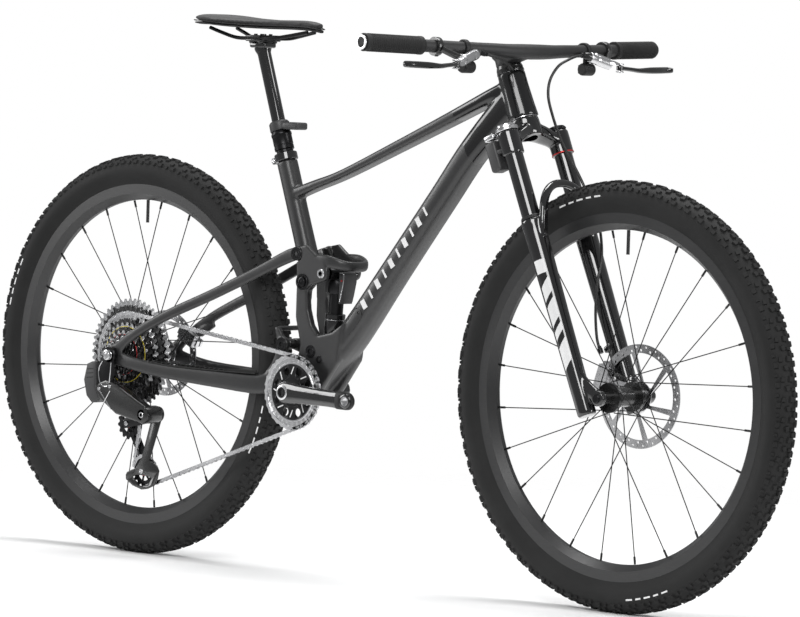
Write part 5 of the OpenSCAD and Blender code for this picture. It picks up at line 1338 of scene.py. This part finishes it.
def sprocket(bm, teeth, r_in, y_low, y_high, place, turn=0.0, tooth=3.4):
    """A toothed ring, with each tooth narrowed towards its tip."""
    r = pitch_r(teeth)
    wave = [(-0.5, -3.3), (-0.3, -1.6), (-0.14, tooth * 0.8), (0.14, tooth * 0.8), (0.3, -1.6)]
    rings = []
    for share, y in ((0, y_low), (0, y_high), (1, y_high), (1, y_low)):
        ring = []
        for k in range(teeth):
            for step, rise in wave:
                a = math.tau * (k + step + turn) / teeth
                out = r + rise if share else r_in
                taper = 0.28 * (y_high - y_low) if share and rise > 0 else 0
                side = y + taper if y == y_low else y - taper
                ring.append(bm.verts.new((place.x + out * math.cos(a), side,
                                          place.z + out * math.sin(a))))
        rings.append(ring)
    count = len(rings[0])
    for a, b in zip(rings, rings[1:] + rings[:1]):
        for k in range(count):
            bm.faces.new((a[k], a[(k + 1) % count], b[(k + 1) % count], b[k]))
    bmesh.ops.recalc_face_normals(bm, faces=bm.faces)


COGS = [50, 44, 38, 32, 28, 24, 21, 18, 16, 14, 12, 10]
for paint, first, slot in ((bright, 0, "silver_alloy"), (black_paint, 1, "black_steel")):
    bm = bmesh.new()
    for k in range(first, len(COGS), 2):
        y = -(33 + 3.6 * k)
        small = pitch_r(COGS[k + 1]) - 6.5 if k + 1 < len(COGS) else 11.4
        sprocket(bm, COGS[k], max(small, 11.4), y - 0.85, y + 0.85, rear_axle, 0.21 * k)
    obj = make("cogs_silver" if first == 0 else "cogs_black", bm, paint, 30)
    fit(obj, "cassette", slot, *(("cassette",) if first == 0 else ()))
bm = bmesh.new()
lathe(bm, [[11.3, -26.4], [30, -26.4], [58, -30.6], [60, -31.6], [59, -32.6], [34, -28.4],
           [14.6, -28.4], [14.2, -73], [11.3, -73], [11.3, -26.4]], rear_axle, Y_AXIS, 64)
for k in range(6):
    a = math.tau * k / 6
    for i in range(0, len(COGS) - 2):
        inner = max(pitch_r(COGS[i + 2]) - 8, 12)
        outer = pitch_r(COGS[i]) - 4.5
        b = a + 0.09 * i
        mid = (inner + outer) / 2
        turn = turned(rear_axle, -b)
        block(bm, (outer - inner, 1.5, 4.6), turn @ Matrix.Translation(
            (mid, -(33 + 3.6 * i) - 1.8, 0)), 0.4, 1)
fit(make("cog_carrier", bm, anodised), "cassette", "black_anodised")
bm = bmesh.new()
lathe(bm, [[8.6, -73.8], [11, -73.8], [12.4, -73.2], [12.4, -72.4], [8.6, -72.4], [8.6, -73.8]],
      rear_axle, Y_AXIS, 40)
fit(make("cassette_lockring", bm, silver), "cassette", "silver_alloy")
for name, k, paint in (("red_cog_band", 6, red_mark), ("yellow_cog_band", 4, yellow_mark)):
    bm = bmesh.new()
    y = -(33 + 3.6 * k)
    ring_band(bm, pitch_r(COGS[k]) - 5.4, pitch_r(COGS[k]) - 4.4, 0.2,
              Vector((rear_axle.x, y - 0.95, rear_axle.z)), soft=0.05, segments=64)
    fit(make(name, bm, paint), "cassette", "silver_alloy")

CHAIN_Y = -53
bm = bmesh.new()
sprocket(bm, 32, 50.5, CHAIN_Y - 1, CHAIN_Y + 1, bb, 0.1, 3.6)
ring_band(bm, 50, 53.6, 1.5, Vector((bb.x, CHAIN_Y, bb.z)), soft=0.4, segments=64)
fit(make("ring_teeth", bm, bright, 30), "crankset", "silver_alloy", "chainring")
bm = bmesh.new()
ring_band(bm, 16.2, 51, 1.9, Vector((bb.x, CHAIN_Y, bb.z)), soft=0.6, segments=64)
ring_band(bm, 16.2, 27, 3.4, Vector((bb.x, CHAIN_Y, bb.z)), soft=0.8, segments=64)
spider = make("ring_spider", bm, anodised)
cutter = bmesh.new()
for k in range(8):
    a = math.tau * (k + 0.5) / 8
    button(cutter, 7.6, -8, 8, Vector((bb.x + 39 * math.cos(a), CHAIN_Y, bb.z + 39 * math.sin(a))),
           soft=0.1, segments=28)
cut_away(spider, make("ring_windows", cutter, anodised))
fit(spider, "crankset", "black_anodised")
bm = bmesh.new()
for k in range(8):
    a = math.tau * k / 8
    turn = Matrix.Translation((bb.x, CHAIN_Y - 2.0, bb.z)) @ Matrix.Rotation(-a, 4, "Y")
    turn = turn @ Matrix.Translation((39, 0, 0)) @ Matrix.Rotation(math.radians(24), 4, "Y")
    block(bm, (15, 0.5, 2.2), turn, 0.2, 1)
fit(make("ring_slashes", bm, white_mark), "crankset", "silver_alloy")

CRANK_ANGLE = math.radians(1.5)
CRANK_LONG = 165
crank_dir = Vector((math.cos(CRANK_ANGLE), 0, -math.sin(CRANK_ANGLE)))
ARM = [(-16, 71, 6.4, 12), (-11, 71, 8, 16.4), (0, 72, 8.9, 19.6), (18, 73.6, 8.6, 19),
       (45, 76, 8.2, 17), (110, 81, 7.4, 15), (150, 84.4, 7, 15.4), (168, 85, 6.9, 14.6),
       (175, 85, 6.2, 11), (178, 85, 4.4, 6.4)]


def arm_row(station, side, grow=0.0):
    s, y, half_y, half_z = station
    p = bb + crank_dir * (s if side < 0 else -s)
    return [p.x, side * y, p.z, half_y + grow, half_z + grow]


for label, side in (("right", -1), ("left", 1)):
    bm = bmesh.new()
    flow(bm, [arm_row(s, side) for s in ARM], 5, power=2.8, sides=28)
    boss_r = 16 if side < 0 else 18.6
    button(bm, boss_r, 44.6, 79.6, bb, Y_AXIS * side, 1.2)
    tip = bb + crank_dir * (CRANK_LONG if side < 0 else -CRANK_LONG)
    button(bm, 13, 77.6, 92.2, tip, Y_AXIS * side, 1)
    arm = melt(make(label + "_arm", bm, gloss, 180), 1.6, 3)
    cutter = bmesh.new()
    button(cutter, 7.6, 60, 100, tip, Y_AXIS * side, 0.1, 32)
    cut_away(arm, make("pedal_hole", cutter, gloss))
    soften(arm.data, 50)
    fit(arm, "crankset", "carbon_black", "crank_" + label)
    bm = bmesh.new()
    lathe(bm, [[7.2, 77.4], [8.8, 77.4], [8.8, 92.6], [7.2, 92.6], [7.2, 77.4]], tip,
          Y_AXIS * side, 32)
    fit(make(label + "_pedal_insert", bm, silver), "crankset", "silver_alloy")
    bm = bmesh.new()
    flow(bm, [arm_row((142, 83.9, 6.9, 15.2), side, 0.2), arm_row((144, 84, 7.1, 15.3), side, 0.9),
              arm_row((168, 85, 6.9, 14.6), side, 0.9), arm_row((175, 85, 6.2, 11), side, 0.9),
              arm_row((179, 85, 4.4, 6.4), side, 0.6)], 4, power=2.8, sides=28)
    boot = make(label + "_arm_boot", bm, plastic, 50)
    cutter = bmesh.new()
    button(cutter, 13.6, 60, 100, tip, Y_AXIS * side, 0.1, 40)
    cut_away(boot, make("boot_hole", cutter, plastic))
    fit(boot, "crankset", "seal_rubber")
    bm = bmesh.new()
    lathe(bm, [[9.6, 80.6], [12.6, 80.6], [13.2, 81.2], [13.2, 82], [12.2, 82.6], [9.6, 82.6],
               [9.6, 80.6]], bb, Y_AXIS * side, 48)
    fit(make(label + "_arm_ring", bm, silver if side < 0 else grey_mark), "crankset",
        "silver_alloy")
    bm = bmesh.new()
    hex_bolt(bm, 9.4, bb + Y_AXIS * side * 80, Y_AXIS * side, 2, 0.6)
    fit(make(label + "_arm_bolt", bm, anodised), "crankset", "black_steel")
bm = bmesh.new()
button(bm, 14, -44.2, 79.5, bb, Y_AXIS, 0.4)
lathe(bm, [[14.1, -44], [17.2, -44], [17.6, -43.2], [17.6, -40], [17, -39], [14.1, -39],
           [14.1, -44]], bb, Y_AXIS, 48)
fit(make("crank_spindle", bm, silver), "crankset", "steel")

# ---------------------------------------------------------------- rear derailleur
def from_axle(dx, dz, y=0):
    return at(rear_axle, dx, dz, y)


bm = bmesh.new()
button(bm, 15, -92, -82.2, rear_axle, Y_AXIS, 1.6)
outline_plate(bm, (from_axle(-14, 4), from_axle(-22, -10), from_axle(-30, -24), from_axle(-26, -44),
                   from_axle(-20, -62), from_axle(4, -66), from_axle(10, -30), from_axle(14, 2)),
              -92, -82.5, 2, 3)
fit(make("hanger_bracket", bm, anodised), "swingarm", "black_anodised", "derailleur_body")
bm = bmesh.new()
hex_bolt(bm, 9.2, rear_axle - Y_AXIS * 92, -Y_AXIS, 1.6, 0.55)
fit(make("hanger_bolt", bm, silver), "swingarm", "silver_alloy")
bm = bmesh.new()
wire(bm, [Vector((p.x, -92.4, p.z)) for p in (
    from_axle(-15, -12), from_axle(-24, -28), from_axle(-21, -50), from_axle(-12, -58),
    from_axle(2, -56), from_axle(6, -36), from_axle(8, -14))], 1.1, 8, 5)
wire(bm, [Vector((p.x, -93.2, p.z)) for p in (from_axle(-20, -68), from_axle(12, -100))], 0.9, 6)
wire(bm, [Vector((p.x, -93.2, p.z)) for p in (from_axle(8, -66), from_axle(-14, -98))], 0.9, 6)
fit(make("derailleur_silver_lines", bm, bright), "swingarm", "silver_alloy")
bm = bmesh.new()
outline_plate(bm, (from_axle(-34, -62), from_axle(-22, -52), from_axle(-6, -46), from_axle(14, -50),
                   at(knuckle, 8, 16), at(knuckle, 12, 2), at(knuckle, 2, -16), from_axle(22, -108),
                   from_axle(-22, -82)), -93, -72, 4, 4)
lathe(bm, [[0, -93], [10, -93], [15.4, -91.6], [16.5, -89], [16.5, -56], [15.6, -53], [0, -53]],
      knuckle, Y_AXIS, 48)
for spot in (from_axle(-22, -64), from_axle(6, -58)):
    button(bm, 6.4, -94, -70, spot, Y_AXIS, 0.8, 28)
fit(make("derailleur_linkage", bm, black_paint), "swingarm", "black_anodised")
bm = bmesh.new()
button(bm, 3.6, -94.4, -90, from_axle(-22, -64), Y_AXIS, 0.4, 24)
button(bm, 3.6, -94.4, -90, from_axle(6, -58), Y_AXIS, 0.4, 24)
hex_bolt(bm, 5.6, knuckle - Y_AXIS * 93, -Y_AXIS, 0.8, 0.55)
fit(make("derailleur_pins", bm, silver), "swingarm", "steel")
bm = bmesh.new()
outline_plate(bm, (from_axle(-62, -20), from_axle(-50, -15.4), from_axle(-36, -14),
                   from_axle(-36.2, -40), from_axle(-36.5, -62), from_axle(-25, -83),
                   from_axle(-36, -91), from_axle(-48, -92), from_axle(-62, -80),
                   from_axle(-70, -50)), -88, -60, 4.5, 4)
fit(make("derailleur_module", bm, charcoal), "swingarm", "black_plastic", "derailleur_battery")
bm = bmesh.new()
for drop in (-30, -38, -46):
    wire(bm, [from_axle(-60, drop, -88.3), from_axle(-44, drop + 2, -88.3)], 0.7, 6)
fit(make("module_ridges", bm, plastic), "swingarm", "black_plastic")

bm = bmesh.new()
outline_plate(bm, (at(knuckle, -13, 4), at(knuckle, -6, 13), at(knuckle, 6, 13), at(knuckle, 13, 4),
                   at(pulley_bottom, 20, 22), at(pulley_bottom, 40, 14), at(pulley_bottom, 46, 4),
                   at(pulley_bottom, 42, -12), at(pulley_bottom, 34, -24), at(pulley_bottom, 18, -31),
                   at(pulley_bottom, 2, -34), at(pulley_bottom, -22, -28),
                   at(pulley_bottom, -40, -18), at(pulley_bottom, -41, -10),
                   at(pulley_bottom, -38, -4), at(pulley_bottom, -14, 6), at(pulley_bottom, 0, 26)),
              -49.2, -46.2, 0.9, 2)
outer = make("cage_plate", bm, black_paint, 40)
cutter = bmesh.new()
outline_plate(cutter, (at(pulley_bottom, -24, -12), at(pulley_bottom, -12, -7),
                       at(pulley_bottom, 14, -7), at(pulley_bottom, 30, -10),
                       at(pulley_bottom, 16, -25), at(pulley_bottom, -4, -27)), -60, -40, 2.5, 2)
cut_away(outer, make("cage_window", cutter, anodised))
fit(outer, "cage", "black_anodised", "derailleur_cage")
bm = bmesh.new()
outline_plate(bm, (at(knuckle, -4, -14), at(knuckle, -4, 12), at(pulley_top, -4, 10),
                   at(pulley_top, -10, 0), at(pulley_top, -6, -10)), -49.2, -46.2, 0.8, 2)
button(bm, 14.4, -50.6, -46.4, knuckle, Y_AXIS, 0.8)
button(bm, 6, -60, -48, knuckle, Y_AXIS, 0.4)
outline_plate(bm, (at(pulley_top, -10, 8), at(pulley_top, 10, 10), at(pulley_top, 12, -6),
                   at(pulley_bottom, 12, 10), at(pulley_bottom, 12, -8), at(pulley_bottom, -10, -10),
                   at(pulley_bottom, -12, 6), at(pulley_top, -12, -8)), -35.2, -32.7, 0.8, 2)
fit(make("cage_inner_plate", bm, anodised), "cage", "black_anodised")
bm = bmesh.new()
for wheel in (pulley_top, pulley_bottom):
    button(bm, 3, -50.4, -32, wheel, Y_AXIS, 0.4, 20)
    hex_bolt(bm, 4.6, wheel - Y_AXIS * 49.4, -Y_AXIS, 1.4, 0.55)
fit(make("cage_bolts", bm, silver), "cage", "black_steel")
for name, wheel, body, node in (("upper_jockey_wheel", pulley_top, "pulley_top", "pulley_upper"),
                                ("lower_jockey_wheel", pulley_bottom, "pulley_bottom",
                                 "pulley_lower")):
    bm = bmesh.new()
    sprocket(bm, 14, 17.5, -41.2, -39.2, wheel, 0.3, 2.4)
    ring_band(bm, 3.4, 9, 3, at(wheel, y=-40.2), soft=0.4)
    for k in range(7):
        a = math.tau * k / 7
        turn = turned(at(wheel, y=-40.2), -a)
        block(bm, (12, 2, 4.4), turn @ Matrix.Translation((13.2, 0, 0)), 0.5, 1)
    fit(make(name, bm, anodised, 30), body, "black_plastic", node)
    bm = bmesh.new()
    ring_band(bm, 6.2, 8.4, 0.3, at(wheel, y=-43.3), soft=0.1, segments=32)
    fit(make(name + "_mark", bm, red_mark), body, "black_plastic")


# ---------------------------------------------------------------- chain
def belt(p, r1, q, r2):
    d = q - p
    return math.atan2(d.z, d.x) + math.acos((r1 - r2) / math.hypot(d.x, d.z))


def rim_point(centre, r, a, y):
    return Vector((centre.x + r * math.cos(a), y, centre.z + r * math.sin(a)))


def arc(centre, r, start, end, y):
    count = max(3, int(abs(end - start) * r / 2.5))
    return [rim_point(centre, r, start + (end - start) * k / count, y) for k in range(count + 1)]


COG_Y = -40.2
COG_R, RING_R, PULLEY_R = pitch_r(38), pitch_r(32), pitch_r(14)
top_a = belt(rear_axle, COG_R, bb, RING_R)
low_a = belt(bb, RING_R, pulley_bottom, PULLEY_R) - math.tau
gap = pulley_bottom - pulley_top
between_a = math.atan2(gap.z, gap.x) + math.acos(2 * PULLEY_R / math.hypot(gap.x, gap.z))
gap = pulley_top - rear_axle
cog_a = math.atan2(gap.z, gap.x) - math.acos((COG_R + PULLEY_R) / math.hypot(gap.x, gap.z))
ring_top = rim_point(bb, RING_R, top_a, CHAIN_Y)
cog_top = rim_point(rear_axle, COG_R, top_a, COG_Y)
ring_low = rim_point(bb, RING_R, low_a, CHAIN_Y)
pulley_end = rim_point(pulley_bottom, PULLEY_R, low_a, COG_Y)
top_dir = (ring_top - cog_top).normalized()
low_dir = (pulley_end - ring_low).normalized()
forward = [cog_top, cog_top + (ring_top - cog_top) * 0.06, ring_top - top_dir * 28]
forward[1].y, forward[2].y = COG_Y, CHAIN_Y
forward += arc(bb, RING_R, top_a, low_a, CHAIN_Y)
back = [ring_low + low_dir * 28, pulley_end - low_dir * 22, pulley_end]
back[0].y, back[1].y, back[2].y = CHAIN_Y, COG_Y, COG_Y
run = forward + back
rear = arc(pulley_bottom, PULLEY_R, low_a, between_a + math.pi - math.tau, COG_Y)
rear += arc(pulley_top, PULLEY_R, between_a, cog_a + math.pi, COG_Y)
rear += arc(rear_axle, COG_R, cog_a + math.tau, top_a, COG_Y)


def link_plate(bm, turn, long, y, thick):
    """One flat-topped side plate, waisted below, between two pins."""
    outline = []
    for centre, start, step in ((long, -1.1, 0.43), (0, 2.2, 0.44)):
        for k in range(6):
            a = start + k * step
            outline.append((centre + 4.1 * math.cos(a), min(4.1 * math.sin(a), 3.6)))
    outline.append((long / 2, -2.7))
    faces = []
    for side in (y, y + thick):
        faces.append([bm.verts.new(turn @ Vector((x, side, z))) for x, z in outline])
    bm.faces.new(faces[0])
    bm.faces.new(list(reversed(faces[1])))
    count = len(outline)
    for k in range(count):
        bm.faces.new((faces[0][k], faces[0][(k + 1) % count], faces[1][(k + 1) % count],
                      faces[1][k]))


def chain_piece(name, path, body, node):
    spans = [(b - a).length for a, b in zip(path, path[1:])]
    count = round(sum(spans) / 12.7)
    pins, k, past = [], 0, 0.0
    for i in range(count + 1):
        want = sum(spans) * i / count
        while k < len(spans) - 1 and past + spans[k] < want:
            past += spans[k]
            k += 1
        pins.append(path[k].lerp(path[k + 1], (want - past) / spans[k]))
    bm = bmesh.new()
    for i, (p, q) in enumerate(zip(pins, pins[1:])):
        along = (q - p).normalized()
        up = along.cross(Y_AXIS).normalized() * -1
        side = up.cross(along).normalized()
        turn = Matrix((along, side, up)).transposed().to_4x4()
        turn.translation = p
        y = 2.15 if i % 2 else 1.2
        for s in (-1, 1):
            link_plate(bm, turn, (q - p).length, s * y - 0.42, 0.84)
        lathe(bm, [[0, -2.9], [1.9, -2.9], [1.9, -0.9], [3.7, -0.9], [3.7, 0.9], [1.9, 0.9],
                   [1.9, 2.9], [0, 2.9]], p, side, 10)
    bmesh.ops.recalc_face_normals(bm, faces=bm.faces)
    return fit(make(name, bm, chain_steel, 30), body, "steel", node)


chain_piece("chain_links", run, "chain", "chain_run")
chain_piece("chain_links_rear", rear, "swingarm", "chain_rear")

# ---------------------------------------------------------------- what stays as it was machined
def paint(node, *finishes):
    """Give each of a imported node's slots a finish, the last one filling the rest."""
    slots = frame["nodes"][node].data.materials
    if not slots:
        slots.append(finishes[0])
    for k in range(len(slots)):
        slots[k] = finishes[min(k, len(finishes) - 1)]


paint("headset_bearings", silver)
paint("stanchions", gloss)
for wheel in ("front", "rear"):
    paint(wheel + "_rim", rim_carbon)
    paint(wheel + "_spokes", spoke_black)
    paint(wheel + "_hub", black_paint)
    paint(wheel + "_rotor", rotor_steel)
    paint(wheel + "_caliper", silver)
bm = bmesh.new()
for y in (-17, 12):
    ring_band(bm, 12, 15.2, 1.4, at(front_axle, y=y), soft=0.3)
fit(make("hub_bands", bm, yellow_mark), "front_wheel", "black_anodised")
bm = bmesh.new()
turn = turned(rear_axle, math.radians(96))
block(bm, (4, 0.8, 14), turn @ Matrix.Translation((308, -14.2, 0)), 0.2, 1)
fit(make("rim_mark", bm, yellow_mark), "rear_wheel", "carbon_satin")
sidewall_marks("front_tyre_blocks", front_axle, "front_wheel", (75, 255), white_mark)
sidewall_marks("rear_tyre_blocks", rear_axle, "rear_wheel", (20, 200), white_mark)
